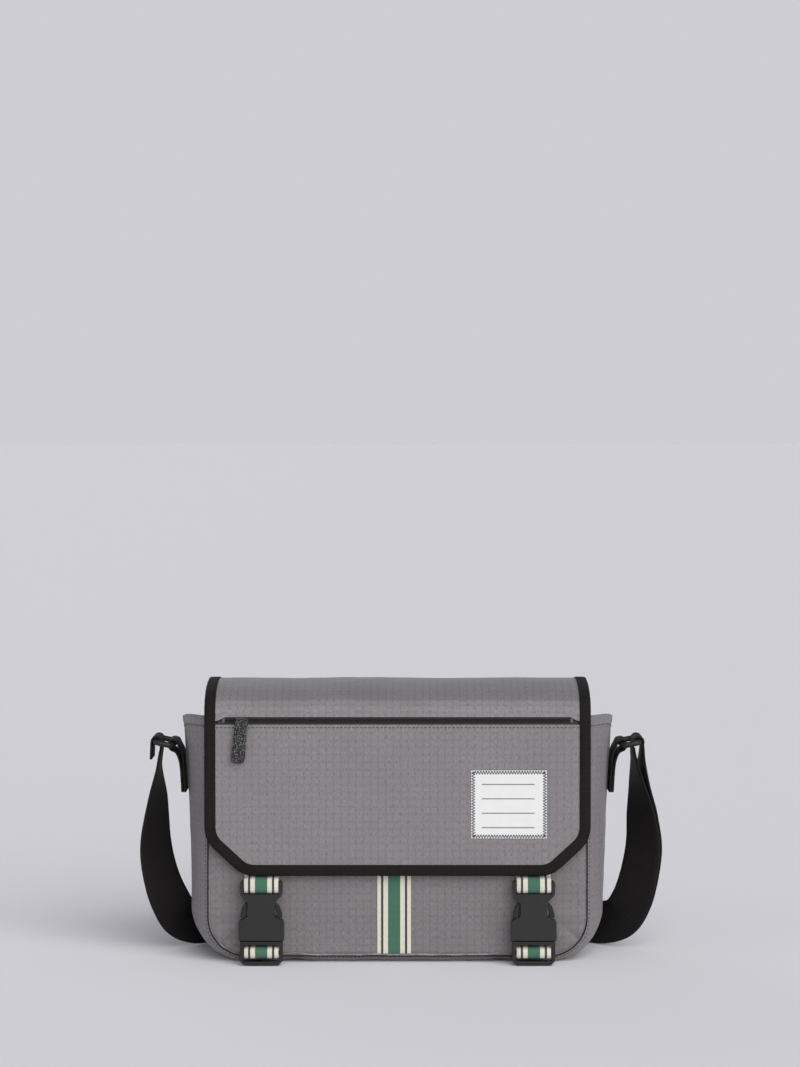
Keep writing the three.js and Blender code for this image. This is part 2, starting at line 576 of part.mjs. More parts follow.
for (const [name, x] of [["left", -BUCKLE_X], ["right", BUCKLE_X]]) {
  const half = WEBBING.width / 2;
  const place = (geometry) => geometry.translate(x, 0, 0);
  addPiece(`${name}_socket`, place(socket()), BLACK_PLASTIC);
  addPiece(`${name}_clip_frame`, place(clipFrame()), BLACK_PLASTIC);
  addPiece(`${name}_inner_arm`, place(latchArm(x > 0 ? -1 : 1)), BLACK_PLASTIC);
  addPiece(`${name}_outer_arm`, place(latchArm(x > 0 ? 1 : -1)), BLACK_PLASTIC);
  addPiece(`${name}_upper_webbing`, place(acrossX(strip(UPPER_LOOP, WEBBING.thick, 64), -half, half)), WHITE_TAPE);
  addPiece(`${name}_lower_webbing`, place(acrossX(strip(LOWER_LOOP, WEBBING.thick, 52), -half, half)), WHITE_TAPE);
}

// ---- rings and tabs ----
// A ring is a closed loop of wire with round corners, in the plane of its two long bars.
function ringWire(side) {
  const { inner, outer } = RING_BARS;
  const half = STRAP.width / 2 + RING.gap / 2 + RING.wire / 2;
  const corner = 3;
  const across = new THREE.Vector3(side * (outer.x - inner.x), 0, outer.z - inner.z);
  const long = across.length();
  across.normalize();
  const start = new THREE.Vector3(side * inner.x, 0, inner.z);
  const path = [];
  for (const [u, y, towardsU, towardsY, first] of [
    [0, -half, 1, 1, Math.PI], [long, -half, -1, 1, 1.5 * Math.PI], [long, half, -1, -1, 0], [0, half, 1, -1, 0.5 * Math.PI],
  ])
    for (let i = 0; i <= 4; i++) {
      const angle = first + (i / 4) * (Math.PI / 2);
      const atU = u + corner * (towardsU + Math.cos(angle));
      path.push(start.clone().addScaledVector(across, atU).setY(y + corner * (towardsY + Math.sin(angle))));
    }
  const curve = new THREE.CatmullRomCurve3(path, true, "centripetal");
  return new THREE.TubeGeometry(curve, 56, RING.wire / 2, 10, true);
}

// A tab is a strip folded round the ring's inner bar, both ends sewn down the gusset.
function tabLine() {
  const { x, z } = RING_BARS.inner;
  const lay = TAB.thick / 2 + GAP + 0.1;
  const wrap = RING.wire / 2 + GAP + TAB.thick / 2 + 0.2;
  const on = (height, layers) => [sideFace(height) + lay + layers * (TAB.thick + GAP), height];
  return [
    on(TAB.low, 0), on(132, 0), on(142, 0), on(150, 0), [x - wrap - 0.4, z + 0.6], [x - 2.4, z + wrap - 0.6], [x + 1.4, z + wrap],
    [x + wrap, z + 0.4], [x + 1.6, z - wrap + 0.2], [x - 2.4, z - wrap - 2.2], on(145, 1.35), on(138, 1.05), on(130, 1), on(TAB.low, 1),
  ];
}

for (const [name, side] of [["left", -1], ["right", 1]]) {
  const line = tabLine();
  const shape = strip(side > 0 ? line : mirrored(line), TAB.thick, 48);
  addPiece(`${name}_ring_tab`, acrossY(shape, -TAB.width / 2, TAB.width / 2), BLACK_LEATHER);
  addPiece(`${name}_ring`, ringWire(side), BLACK_PLASTIC);
}

// ---- shoulder strap ----
// Each station of the strap is its middle and the way its width runs.
const station = (x, y, z, wx, wy, wz) => ({ at: new THREE.Vector3(x, y, z), wide: new THREE.Vector3(wx, wy, wz) });

// The strap through stations number first to number last, its layer moved off them by shift at each.
function sweptStrap(stations, first = 0, last = stations.length - 1, shift = () => 0, spacing = 5) {
  const line = new THREE.CatmullRomCurve3(stations.map((s) => s.at), false, "centripetal");
  const wides = new THREE.CatmullRomCurve3(stations.map((s) => s.wide), false, "centripetal");
  const steps = stations.length - 1;
  const rings = [];
  for (let k = first; k <= last; k++) {
    const reach = k < last ? stations[k].at.distanceTo(stations[k + 1].at) : 0;
    const parts = Math.max(1, Math.round(reach / spacing));
    for (let i = 0; i < (k < last ? parts : 1); i++) {
      const t = (k + i / parts) / steps;
      const along = line.getTangent(t);
      const wide = wides.getPoint(t);
      wide.addScaledVector(along, -wide.dot(along)).normalize();
      const thin = new THREE.Vector3().crossVectors(along, wide);
      const middle = line.getPoint(t).addScaledVector(thin, shift(t * steps));
      const corner = (w, n) =>
        middle.clone().addScaledVector(wide, (w * STRAP.width) / 2).addScaledVector(thin, (n * STRAP.thick) / 2);
      rings.push([[-1, -1], [0, -1], [1, -1], [1, 1], [0, 1], [-1, 1]].map(([w, n]) => corner(w, n)));
    }
  }
  return loft(rings);
}

const WRAP = RING.wire / 2 + GAP + STRAP.thick / 2 + 0.3; // from the ring's bar to the strap's middle
const BAR = RING_BARS.outer;
const LOW_Z = STRAP.width / 2 + GAP;

// The strap over a ring's outer bar, from the bag's side of the bar to the far side.
function overBar(side) {
  return [0, 30, 60, 90, 120, 150, 180].map((degrees) => {
    const angle = THREE.MathUtils.degToRad(degrees);
    return station(side * (BAR.x - WRAP * Math.cos(angle)), 0, BAR.z + WRAP * Math.sin(angle), 0, 1, 0);
  });
}

// Left: a sewn end on the outside, over the ring's bar, down and round to the adjuster.
const LEFT_RUN = [
  station(-BAR.x - WRAP - 0.6, 0, BAR.z - 13, 0, 1, 0),
  station(-BAR.x - WRAP - 0.3, 0, BAR.z - 5, 0, 1, 0),
  ...overBar(-1).reverse(),
  station(-BAR.x + 2.6, 0, BAR.z - 8, 0, 1, 0),
  station(-177.2, 0, 140, 0.02, 1, 0),
  station(-178.4, 0.6, 116, 0.36, 0.93, 0),
  station(-180.2, 4, 80, 0.66, 0.74, 0.05),
  station(-176.5, 8, 56, 0.72, 0.62, 0.2),
  station(-170.5, 13, 38, 0.66, 0.42, 0.5),
  station(-163, 22, 24, 0.4, 0.12, 0.85),
  station(-152, 36, LOW_Z + 1, 0.05, 0, 1),
  station(-133, 54, LOW_Z + 0.4, 0, 0, 1),
  station(-107, 63, LOW_Z + 2, 0, 0, 1),
  station(-80, STRAP_Y, STRAP_RAISED, 0, 0, 1),
  station(-62, STRAP_Y, STRAP_RAISED, 0, 0, 1),
  station(ADJUSTER.x - GAP / 2, STRAP_Y, STRAP_RAISED, 0, 0, 1),
];
// Right: from the adjuster round and up, over the ring's bar to its inner side.
const RIGHT_RUN = [
  station(ADJUSTER.x + GAP / 2, STRAP_Y, STRAP_RAISED, 0, 0, 1),
  station(-10, STRAP_Y, STRAP_RAISED, 0, 0, 1),
  station(INNER_BACK_END, STRAP_Y, STRAP_RAISED, 0, 0, 1),
  station(62, STRAP_Y, STRAP_RAISED, 0, 0, 1),
  station(84, STRAP_Y, STRAP_RAISED - 1.4, 0, 0, 1),
  station(112, 64.4, LOW_Z + 1.2, 0, 0, 1),
  station(138, 56, LOW_Z + 0.4, 0, 0, 1),
  station(157, 38, LOW_Z + 1, -0.05, 0, 1),
  station(168.5, 23, 24, -0.4, 0.12, 0.85),
  station(176, 14, 38, -0.66, 0.4, 0.5),
  station(181, 9, 56, -0.74, 0.56, 0.16),
  station(184.4, 5, 80, -0.74, 0.67, 0.04),
  station(183, 2, 104, -0.6, 0.8, 0),
  station(181.6, 0.5, 126, -0.3, 0.95, 0),
  station(BAR.x + WRAP - 0.2, 0, BAR.z - 14, -0.06, 1, 0),
  station(BAR.x + WRAP, 0, BAR.z - 5, 0, 1, 0),
  ...overBar(1).reverse(),
  station(BAR.x - WRAP, 0, BAR.z - 3, 0, 1, 0),
];
const INNER_START = 2; // where the inner layer leaves the run's straight part
const INNER_PARTS = 12; // from there it keeps one layer's distance, and then widens to clear the ring's bar
const INNER_END = 15.4;
addPiece("strap_left_run", sweptStrap(LEFT_RUN), BLACK_WEBBING);
addPiece("strap_right_run", sweptStrap(RIGHT_RUN), BLACK_WEBBING);

// The inner layer comes back down beside the right run, on the side towards the bag.
function innerShift(at) {
  const widening = THREE.MathUtils.smoothstep(at, INNER_PARTS, Math.floor(INNER_END));
  return THREE.MathUtils.lerp(LAYER, 2 * WRAP, widening);
}
addPiece("strap_inner_leg", sweptStrap(RIGHT_RUN, INNER_START, Math.floor(INNER_END), innerShift), BLACK_WEBBING);

// ---- adjuster ----
const INNER_Y = STRAP_Y - LAYER;
const LOOP_RADIUS = ADJUSTER.centre + GAP + STRAP.thick / 2;
const CENTRE_Y = INNER_Y - LOOP_RADIUS;
const LOOP_END = ADJUSTER.x + LOOP_TAIL;
const STRAP_LOW = STRAP_RAISED - STRAP.width / 2;
const STRAP_HIGH = STRAP_RAISED + STRAP.width / 2;

function loopEnd() {
  const line = [[LOOP_END, INNER_Y], [ADJUSTER.x + 10, INNER_Y], [ADJUSTER.x + 2, INNER_Y - 0.05]];
  for (let i = 1; i < 8; i++) {
    const angle = Math.PI / 2 + (i / 8) * Math.PI;
    line.push([ADJUSTER.x + LOOP_RADIUS * Math.cos(angle), CENTRE_Y + LOOP_RADIUS * Math.sin(angle)]);
  }
  line.push([ADJUSTER.x + 3, CENTRE_Y - LOOP_RADIUS], [ADJUSTER.x + 11, INNER_Y - LAYER - 1.2]);
  line.push([ADJUSTER.x + 18, INNER_Y - LAYER], [LOOP_END - 1, INNER_Y - LAYER]);
  return acrossZ(strip(line, STRAP.thick, 40), STRAP_LOW, STRAP_HIGH);
}

function adjuster() {
  const behind = STRAP_Y + STRAP.thick / 2 + GAP;
  const rail = polygon([
    [-ADJUSTER.half - ADJUSTER.bar / 2, behind], [ADJUSTER.half + ADJUSTER.bar / 2, behind],
    [ADJUSTER.half + ADJUSTER.bar / 2, behind + ADJUSTER.bar], [-ADJUSTER.half - ADJUSTER.bar / 2, behind + ADJUSTER.bar],
  ]);
  const neck = rectangle(-ADJUSTER.centre, CENTRE_Y - ADJUSTER.centre, ADJUSTER.centre, behind + 1);
  const thick = 3.4;
  const ends = [[STRAP_LOW - GAP - thick, STRAP_LOW - GAP], [STRAP_HIGH + GAP, STRAP_HIGH + GAP + thick]];
  const rails = ends.flatMap((span) => [acrossZ(rail, ...span), acrossZ(neck, ...span)]);
  const height = [ends[0][0] + 0.5, ends[1][1] - 0.5];
  const bars = [-1, 1].map((side) => {
    const x = side * ADJUSTER.half;
    return acrossZ(rectangle(x - ADJUSTER.bar / 2, behind, x + ADJUSTER.bar / 2, behind + ADJUSTER.bar), ...height);
  });
  const round = new THREE.Shape().absarc(0, CENTRE_Y, ADJUSTER.centre, 0, 2 * Math.PI, false);
  return joined(...rails, ...bars, acrossZ(round, ...height)).translate(ADJUSTER.x, 0, 0);
}
addPiece("strap_loop_end", loopEnd(), BLACK_WEBBING);
addPiece(
  "strap_inner_back",
  box(LOOP_END + GAP, INNER_BACK_END - GAP, INNER_Y - STRAP.thick / 2, INNER_Y + STRAP.thick / 2, STRAP_LOW, STRAP_HIGH),
  BLACK_WEBBING,
);
addPiece("strap_adjuster", adjuster(), BLACK_PLASTIC);

export default bag;
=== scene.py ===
"""Messenger bag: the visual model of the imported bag, piece by piece, on its fixed frame."""

import math

import bmesh
import bpy
import numpy as np
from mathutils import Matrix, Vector, noise


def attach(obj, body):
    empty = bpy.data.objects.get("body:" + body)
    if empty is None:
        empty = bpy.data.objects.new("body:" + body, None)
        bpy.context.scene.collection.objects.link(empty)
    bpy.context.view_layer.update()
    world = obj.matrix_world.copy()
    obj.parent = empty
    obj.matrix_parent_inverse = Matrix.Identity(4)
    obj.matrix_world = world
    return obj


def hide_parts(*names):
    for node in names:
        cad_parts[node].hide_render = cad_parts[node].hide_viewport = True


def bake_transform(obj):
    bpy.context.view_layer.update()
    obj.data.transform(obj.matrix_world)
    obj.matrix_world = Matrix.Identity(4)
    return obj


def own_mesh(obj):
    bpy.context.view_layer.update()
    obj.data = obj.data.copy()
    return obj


bl_info = {
    "name": "Messenger bag",
    "version": (1, 0, 0),
    "blender": (4, 5, 0),
    "location": "View3D > Sidebar > Bag",
    "description": "Builds a small messenger bag on its packed frame",
    "category": "Object",
}

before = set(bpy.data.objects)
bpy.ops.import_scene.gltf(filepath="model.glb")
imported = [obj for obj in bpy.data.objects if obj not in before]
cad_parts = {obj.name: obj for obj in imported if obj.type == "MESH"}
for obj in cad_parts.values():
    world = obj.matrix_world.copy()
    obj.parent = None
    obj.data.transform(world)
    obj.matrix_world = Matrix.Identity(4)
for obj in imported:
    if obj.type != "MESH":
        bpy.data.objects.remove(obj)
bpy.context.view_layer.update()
MM = 0.001

# ---- shapes shared by the pieces, in millimetres ----
HALF_WIDTH = 138.5  # side seam from the middle
HALF_DEPTH = 45.0
SEAM_Z = 5.0
PANEL_CORNER = 28.0
GUSSET_TOP = 181.0
FRONT_TOP = 176.0
BACK_TOP = 187.5
BASE_FLAT = 0.8
FLAP_HALF = 140.5
FLAP_BOTTOM = 65.0
CHAMFER = (28.0, 26.0)
BINDING_WIDTH = 8.2
FLAP_FACE = -55.0
HINGE = (46.9, 188.0)
BODY_CLOTH = 1.4
FLAP_LINE = [
    (46.6, 188.5), (45.9, 194), (39.5, 200.8), (14.85, 204.2), (-12.15, 203.4), (-34, 199.8),
    (-47.5, 194.3), (-51.8, 189.8), (-54.3, 184.4), (-55, 178),
]
ZIP_SLOT = (175.4, 181.1)
ZIP_Z = 178.25
PULL_X = -113
BUCKLE_X = 99.0
BUCKLE_Y = -57.0
STRAP_WIDTH = 32.0
STRAP_THICK = 1.6
RING_INNER = (166.0, 156.5)
RING_OUTER = (178.2, 159.0)
RING_WIRE = 4.2


# ---- small mathematics ----
def smooth(x, low, high):
    """0 at low, 1 at high, turning smoothly between."""
    t = min(1.0, max(0.0, (x - low) / (high - low)))
    return t * t * (3 - 2 * t)


def mix(a, b, t):
    return a + (b - a) * t


def ripple(x, y=0.0, z=0.0):
    """Smooth noise between about -1 and 1."""
    return noise.noise(Vector((x, y, z)))


def curve_point(points, at):
    """A point on the even Catmull-Rom line through the points, at counted in points."""
    last = len(points) - 1
    k = min(int(max(at, 0)), last - 1)
    t = at - k
    p0, p1, p2, p3 = (np.array(points[min(max(k + d, 0), last)], float) for d in (-1, 0, 1, 2))
    v0, v1 = (p2 - p0) / 2, (p3 - p1) / 2
    return (2 * p1 - 2 * p2 + v0 + v1) * t**3 + (-3 * p1 + 3 * p2 - 2 * v0 - v1) * t**2 + v0 * t + p1


def curve_line(points, first, last, count):
    return [curve_point(points, mix(first, last, i / count)) for i in range(count + 1)]


def rope_point(points, at):
    """A point on the centripetal Catmull-Rom line through the points, at counted in points."""
    p = np.array(points, float)
    last = len(p) - 1
    k = min(int(at), last - 1)
    t = at - k
    p1, p2 = p[k], p[k + 1]
    p0 = p[k - 1] if k > 0 else 2 * p[0] - p[1]
    p3 = p[k + 2] if k + 2 <= last else 2 * p[last] - p[last - 1]
    steps = [max(float(((b - a) ** 2).sum()) ** 0.25, 0.0) for a, b in ((p0, p1), (p1, p2), (p2, p3))]
    d1 = steps[1] if steps[1] >= 1e-4 else 1.0
    d0 = steps[0] if steps[0] >= 1e-4 else d1
    d2 = steps[2] if steps[2] >= 1e-4 else d1
    v1 = ((p1 - p0) / d0 - (p2 - p0) / (d0 + d1) + (p2 - p1) / d1) * d1
    v2 = ((p2 - p1) / d1 - (p3 - p1) / (d1 + d2) + (p3 - p2) / d2) * d1
    return (2 * p1 - 2 * p2 + v1 + v2) * t**3 + (-3 * p1 + 3 * p2 - 2 * v1 - v2) * t**2 + v1 * t + p1


def lengths(points):
    """Distance along a line of points, from its first."""
    p = np.array(points, float)
    return np.concatenate([[0.0], np.cumsum(np.linalg.norm(np.diff(p, axis=0), axis=1))])


def evenly(points, spacing):
    """The same line with its points an even distance apart."""
    p = np.array(points, float)
    s = lengths(p)
    count = max(2, int(round(s[-1] / spacing)))
    at = np.linspace(0, s[-1], count + 1)
    return np.stack([np.interp(at, s, p[:, k]) for k in range(p.shape[1])], axis=1)


# ---- making objects ----
def new_object(name, mesh, material=None):
    obj = bpy.data.objects.new(name, mesh)
    bpy.context.collection.objects.link(obj)
    if material is not None:
        mesh.materials.append(material)
    return obj


def mesh_object(name, points, faces, material, uvs=None):
    """A mesh from points in millimetres. uvs, one for each point, are in millimetres too."""
    mesh = bpy.data.meshes.new(name)
    mesh.from_pydata((np.array(points, float) * MM).tolist(), [], faces)
    if uvs is not None:
        layer = mesh.uv_layers.new(name="cloth")
        corner = np.empty(len(mesh.loops), np.int32)
        mesh.loops.foreach_get("vertex_index", corner)
        layer.data.foreach_set("uv", (np.array(uvs, float)[corner] * MM).astype(np.float32).ravel())
    mesh.polygons.foreach_set("use_smooth", [True] * len(mesh.polygons))
    mesh.update()
    return new_object(name, mesh, material)


def grid_faces(rows, columns, wrap=False):
    faces = []
    for i in range(rows - 1):
        for j in range(columns if wrap else columns - 1):
            k = (j + 1) % columns
            faces.append((i * columns + j, (i + 1) * columns + j, (i + 1) * columns + k, i * columns + k))
    return faces


def sheet(name, grid, uv, material, inside=(0.0, 0.0, 100.0)):
    """A sheet through a grid of points, its outer face away from the inside point."""
    g = np.array(grid, float)
    rows, columns = g.shape[:2]
    obj = mesh_object(
        name, g.reshape(-1, 3), grid_faces(rows, columns), material, np.array(uv).reshape(-1, 2)
    )
    return face_away(obj, inside)


def tube(name, loops, material, uvs=None):
    """A closed body through loops of equal length that turn the same way, with ends closed."""
    g = np.array(loops, float)
    rows, columns = g.shape[:2]
    faces = grid_faces(rows, columns, wrap=True)
    faces.append(tuple(range(columns)))
    faces.append(tuple((rows - 1) * columns + j for j in reversed(range(columns))))
    uv = None if uvs is None else np.array(uvs).reshape(-1, 2)
    obj = mesh_object(name, g.reshape(-1, 3), faces, material, uv)
    return face_outwards(obj)


def face_outwards(obj):
    bm = bmesh.new()
    bm.from_mesh(obj.data)
    bmesh.ops.recalc_face_normals(bm, faces=bm.faces)
    bm.to_mesh(obj.data)
    bm.free()
    return obj


def face_away(obj, inside=(0.0, 0.0, 100.0)):
    """Turns a sheet so that its outer face looks away from a point, in millimetres."""
    mesh = obj.data
    count = len(mesh.polygons)
    normals, centres, areas = np.empty(count * 3), np.empty(count * 3), np.empty(count)
    mesh.polygons.foreach_get("normal", normals)
    mesh.polygons.foreach_get("center", centres)
    mesh.polygons.foreach_get("area", areas)
    away = centres.reshape(-1, 3) - np.array(inside) * MM
    if ((normals.reshape(-1, 3) * away).sum(axis=1) * areas).sum() < 0:
        mesh.flip_normals()
    return obj


def thicken(obj, thick):
    """Gives a sheet its thickness, inwards from its outer face."""
    solid = obj.modifiers.new("thickness", "SOLIDIFY")
    solid.thickness = thick * MM
    solid.offset = -1.0
    solid.use_even_offset = False
    return obj


def settle(obj):
    """Applies every modifier, so that the object is a plain mesh with crisp rims."""
    if not obj.modifiers:
        return obj
    depsgraph = bpy.context.evaluated_depsgraph_get()
    made = bpy.data.meshes.new_from_object(obj.evaluated_get(depsgraph), depsgraph=depsgraph)
    old = obj.data
    obj.modifiers.clear()
    obj.data = made
    bpy.data.meshes.remove(old)
    made.set_sharp_from_angle(angle=math.radians(50))
    return obj


def joined(name, objects):
    """One object from several, each with its own materials."""
    bm = bmesh.new()
    materials = []
    uv_needed = any(o.data.uv_layers for o in objects)
    for obj in objects:
        settle(obj)
        mesh = obj.data
        index = []
        for material in mesh.materials:
            if material not in materials:
                materials.append(material)
            index.append(materials.index(material))
        if uv_needed and not mesh.uv_layers:
            mesh.uv_layers.new(name="cloth")
        first = len(bm.faces)
        bm.from_mesh(mesh)
        bm.faces.ensure_lookup_table()
        for face in bm.faces[first:]:
            face.material_index = index[face.material_index] if index else 0
        bpy.data.objects.remove(obj)
    mesh = bpy.data.meshes.new(name)
    bm.to_mesh(mesh)
    bm.free()
    for material in materials:
        mesh.materials.append(material)
    return new_object(name, mesh)


def place(obj, body, slot, replaced=()):
    """Puts a finished piece on its body and hides the solids that it stands for. The slot is not used."""
    settle(obj)
    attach(obj, body)
    if replaced:
        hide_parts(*replaced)
    return obj


def place_across(obj, bodies, start, end, slot, replaced=()):
    """Applies the piece's modifiers, bakes its place into the mesh and hides the solids that it stands for. The
    bodies, the two points (in metres) and the slot are not used.
    """
    settle(obj)
    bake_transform(obj)
    if replaced:
        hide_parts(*replaced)
    return obj


# ---- finishes ----
class Finish:
    """A material and short calls that add nodes to it."""

    def __init__(self, name, roughness, **constants):
        self.material = bpy.data.materials.new(name)
        self.material.use_nodes = True
        self.nodes = self.material.node_tree.nodes
        self.links = self.material.node_tree.links
        self.shader = self.nodes["Principled BSDF"]
        self.shader.inputs["Roughness"].default_value = roughness
        for key, value in constants.items():
            self.shader.inputs[key.replace("_", " ")].default_value = value

    def node(self, kind, inputs, output=0, **settings):
        made = self.nodes.new(kind)
        for key, value in settings.items():
            setattr(made, key, value)
        for key, value in inputs.items():
            if isinstance(value, bpy.types.NodeSocket):
                self.links.new(value, made.inputs[key])
            else:
                made.inputs[key].default_value = value
        return made.outputs[output]

    def maths(self, operation, a, b=0.0, c=0.0):
        return self.node("ShaderNodeMath", {0: a, 1: b, 2: c}, operation=operation)

    def cloth_place(self):
        """Places along and across the piece's own cloth, in millimetres."""
        uv = self.node("ShaderNodeUVMap", {}, uv_map="cloth")
        split = self.node("ShaderNodeSeparateXYZ", {0: uv}).node
        return [self.maths("MULTIPLY", split.outputs[k], 1000.0) for k in (0, 1)]

    def object_place(self, scale):
        place = self.node("ShaderNodeTexCoord", {}, output="Object")
        return self.node("ShaderNodeMapping", {0: place, "Scale": (scale, scale, scale)})

    def joined_place(self, x, y, z=0.0):
        return self.node("ShaderNodeCombineXYZ", {0: x, 1: y, 2: z})

    def noise(self, place, scale=1.0, detail=2.0, roughness=0.5):
        return self.node(
            "ShaderNodeTexNoise", {"Vector": place, "Scale": scale, "Detail": detail, "Roughness": roughness}
        )

    def ramp(self, value, low, high, to_low=0.0, to_high=1.0):
        """A smooth turn from to_low to to_high as the value goes from low to high."""
        return self.node(
            "ShaderNodeMapRange", {0: value, 1: low, 2: high, 3: to_low, 4: to_high},
            interpolation_type="SMOOTHSTEP"
        )

    def wave(self, value, period):
        """0 to 1 and back over each period."""
        sine = self.maths("SINE", self.maths("MULTIPLY", value, 2 * math.pi / period))
        return self.maths("MULTIPLY_ADD", sine, 0.5, 0.5)

    def blend(self, share, a, b, kind="MIX"):
        return self.node("ShaderNodeMix", {0: share, 6: a, 7: b}, output=2, data_type="RGBA", blend_type=kind)

    def colour(self, socket):
        self.links.new(socket, self.shader.inputs["Base Color"])

    def rough(self, socket):
        self.links.new(socket, self.shader.inputs["Roughness"])

    def bump(self, height, distance, strength=1.0):
        normal = self.node(
            "ShaderNodeBump", {"Height": height, "Distance": distance, "Strength": strength}, output="Normal"
        )
        self.links.new(normal, self.shader.inputs["Normal"])
        return self.material


def shade(colour, factor):
    """A colour made lighter or darker, as a node's input needs it."""
    return (*(min(1.0, c * factor) for c in colour[:3]), 1.0)


def ripstop(name, colour):
    """Mottled ripstop: short dark threads both ways, and a grid of doubled threads."""
    f = Finish(name, 0.6, Sheen_Weight=0.12, Sheen_Roughness=0.45)
    x, y = f.cloth_place()
    upright = f.noise(f.joined_place(f.maths("MULTIPLY", x, 2.9), f.maths("MULTIPLY", y, 0.34)), detail=1.0)
    level = f.noise(f.joined_place(f.maths("MULTIPLY", x, 0.3), f.maths("MULTIPLY", y, 2.9), 9.0), detail=1.0)
    warp, weft = f.ramp(upright, 0.36, 0.56), f.ramp(level, 0.32, 0.56)
    lines = []
    for axis, broken, weight in ((x, upright, 1.0), (y, level, 0.7)):
        near = f.maths("PINGPONG", f.maths("ADD", axis, 500.0), 2.7)
        line = f.ramp(f.maths("ABSOLUTE", f.maths("SUBTRACT", near, 0.42)), 0.1, 0.36, 1.0, 0.0)
        lines.append(f.maths("MULTIPLY", line, f.ramp(broken, 0.25, 0.7, weight, weight * 0.15)))
    grid = f.maths("MAXIMUM", *lines)
    broad = f.noise(f.joined_place(x, y), scale=0.022, detail=3.0)
    light = f.blend(f.ramp(broad, 0.3, 0.7), shade(colour, 0.98), shade(colour, 1.12))
    threads = f.blend(warp, shade(colour, 0.78), light)
    cloth = f.blend(f.maths("MULTIPLY_ADD", weft, -0.3, 0.3), threads, shade(colour, 0.6))
    f.colour(f.blend(f.maths("MULTIPLY", grid, 0.6), cloth, shade(colour, 0.36)))
    f.rough(f.ramp(warp, 0.0, 1.0, 0.66, 0.52))
    weave = f.maths("MULTIPLY", f.wave(x, 0.62), f.wave(y, 0.62))
    height = f.maths("ADD", f.maths("MULTIPLY", grid, 0.8), f.maths("MULTIPLY_ADD", weave, 0.35, warp))
    return f.bump(height, 0.0001, 0.6)


def ribbed_tape(name, colour):
    """Ribbed tape: ribs across its width."""
    f = Finish(name, 0.72, Specular_IOR_Level=0.2)
    x, y = f.cloth_place()
    shift = f.noise(f.joined_place(x, y), scale=0.3)
    ribs = f.wave(f.maths("MULTIPLY_ADD", shift, 0.35, x), 1.25)
    worn = f.noise(f.joined_place(x, y), scale=1.3, detail=4.0)
    # Colour follows the ribs: painted shade in the rib valleys and painted highlight on the rib tops, with random
    # mottling from the worn noise.
    share = f.maths("MULTIPLY_ADD", ribs, 0.55, f.maths("MULTIPLY", worn, 0.5))
    f.colour(f.blend(share, shade(colour, 0.15), shade(colour, 2.3)))
    return f.bump(f.maths("MULTIPLY_ADD", worn, 0.3, ribs), 0.0003, 1.0)


def strap_webbing(name, colour):
    """Plain woven webbing: slanting ribs that meet in arrows, and firm edges."""
    f = Finish(name, 0.7, Specular_IOR_Level=0.2)
    x, y = f.cloth_place()
    slant = f.maths("MULTIPLY", f.maths("PINGPONG", f.maths("ADD", y, 64.0), 2.0), 0.55)
    ribs = f.wave(f.maths("ADD", x, slant), 1.25)
    rows = f.wave(y, 1.0)
    fuzz = f.noise(f.joined_place(x, y), scale=1.8, detail=3.0)
    # Colour follows the ribs: painted shade in the grooves and painted highlight on the ribs, with random tone
    # from the fuzz.
    share = f.maths("MULTIPLY_ADD", ribs, 0.5, f.maths("MULTIPLY", fuzz, 0.45))
    f.colour(f.blend(share, shade(colour, 0.45), shade(colour, 1.7)))
    height = f.maths("ADD", ribs, f.maths("MULTIPLY", rows, 0.4))
    return f.bump(f.maths("MULTIPLY_ADD", fuzz, 0.2, height), 0.00025, 0.8)


def striped_tape(name, ground, band, line):
    """Woven tape with a band down the middle and a thin line near each edge."""
    f = Finish(name, 0.7, Sheen_Weight=0.08)
    x, y = f.cloth_place()
    wobble = f.noise(f.joined_place(x, 3.0), scale=0.9)
    off = f.maths("ABSOLUTE", f.maths("ADD", y, f.maths("MULTIPLY_ADD", wobble, 0.3, -0.15)))
    middle = f.ramp(off, 4.35, 4.6, 1.0, 0.0)
    edge = f.ramp(f.maths("ABSOLUTE", f.maths("SUBTRACT", off, 8.7)), 0.75, 0.95, 1.0, 0.0)
    base = f.blend(edge, f.blend(middle, ground, band), line)
    ribs = f.wave(x, 0.85)
    cords = f.wave(y, 0.9)
    grain = f.noise(f.joined_place(x, y), scale=1.6, detail=3.0)
    # Darkened towards black overall, more in the rib valleys as painted shade, and at random with the grain.
    dim = f.maths("MULTIPLY_ADD", ribs, -0.18, f.maths("MULTIPLY_ADD", grain, -0.25, 0.36))
    f.colour(f.blend(dim, base, (0.01, 0.01, 0.012, 1.0)))
    height = f.maths("ADD", ribs, f.maths("MULTIPLY", cords, 0.5))
    return f.bump(height, 0.00022, 0.7)


def moulded_plastic(name, colour, roughness=0.46):
    """Moulded plastic: a fine spark-eroded grain, faint flow marks and dull scuffs."""
    f = Finish(name, roughness, Specular_IOR_Level=0.32)
    grain = f.noise(f.object_place(5200.0), detail=2.0)
    flow = f.noise(f.object_place(90.0), detail=3.0)
    scuff = f.ramp(f.noise(f.object_place(420.0), detail=5.0, roughness=0.7), 0.6, 0.78)
    share = f.maths("MULTIPLY_ADD", scuff, 0.35, f.maths("MULTIPLY", flow, 0.3))
    f.colour(f.blend(share, shade(colour, 0.9), shade(colour, 1.6)))
    f.rough(f.ramp(flow, 0.3, 0.7, roughness - 0.06, roughness + 0.1))
    return f.bump(f.maths("MULTIPLY_ADD", scuff, 0.3, grain), 0.00005, 0.6)


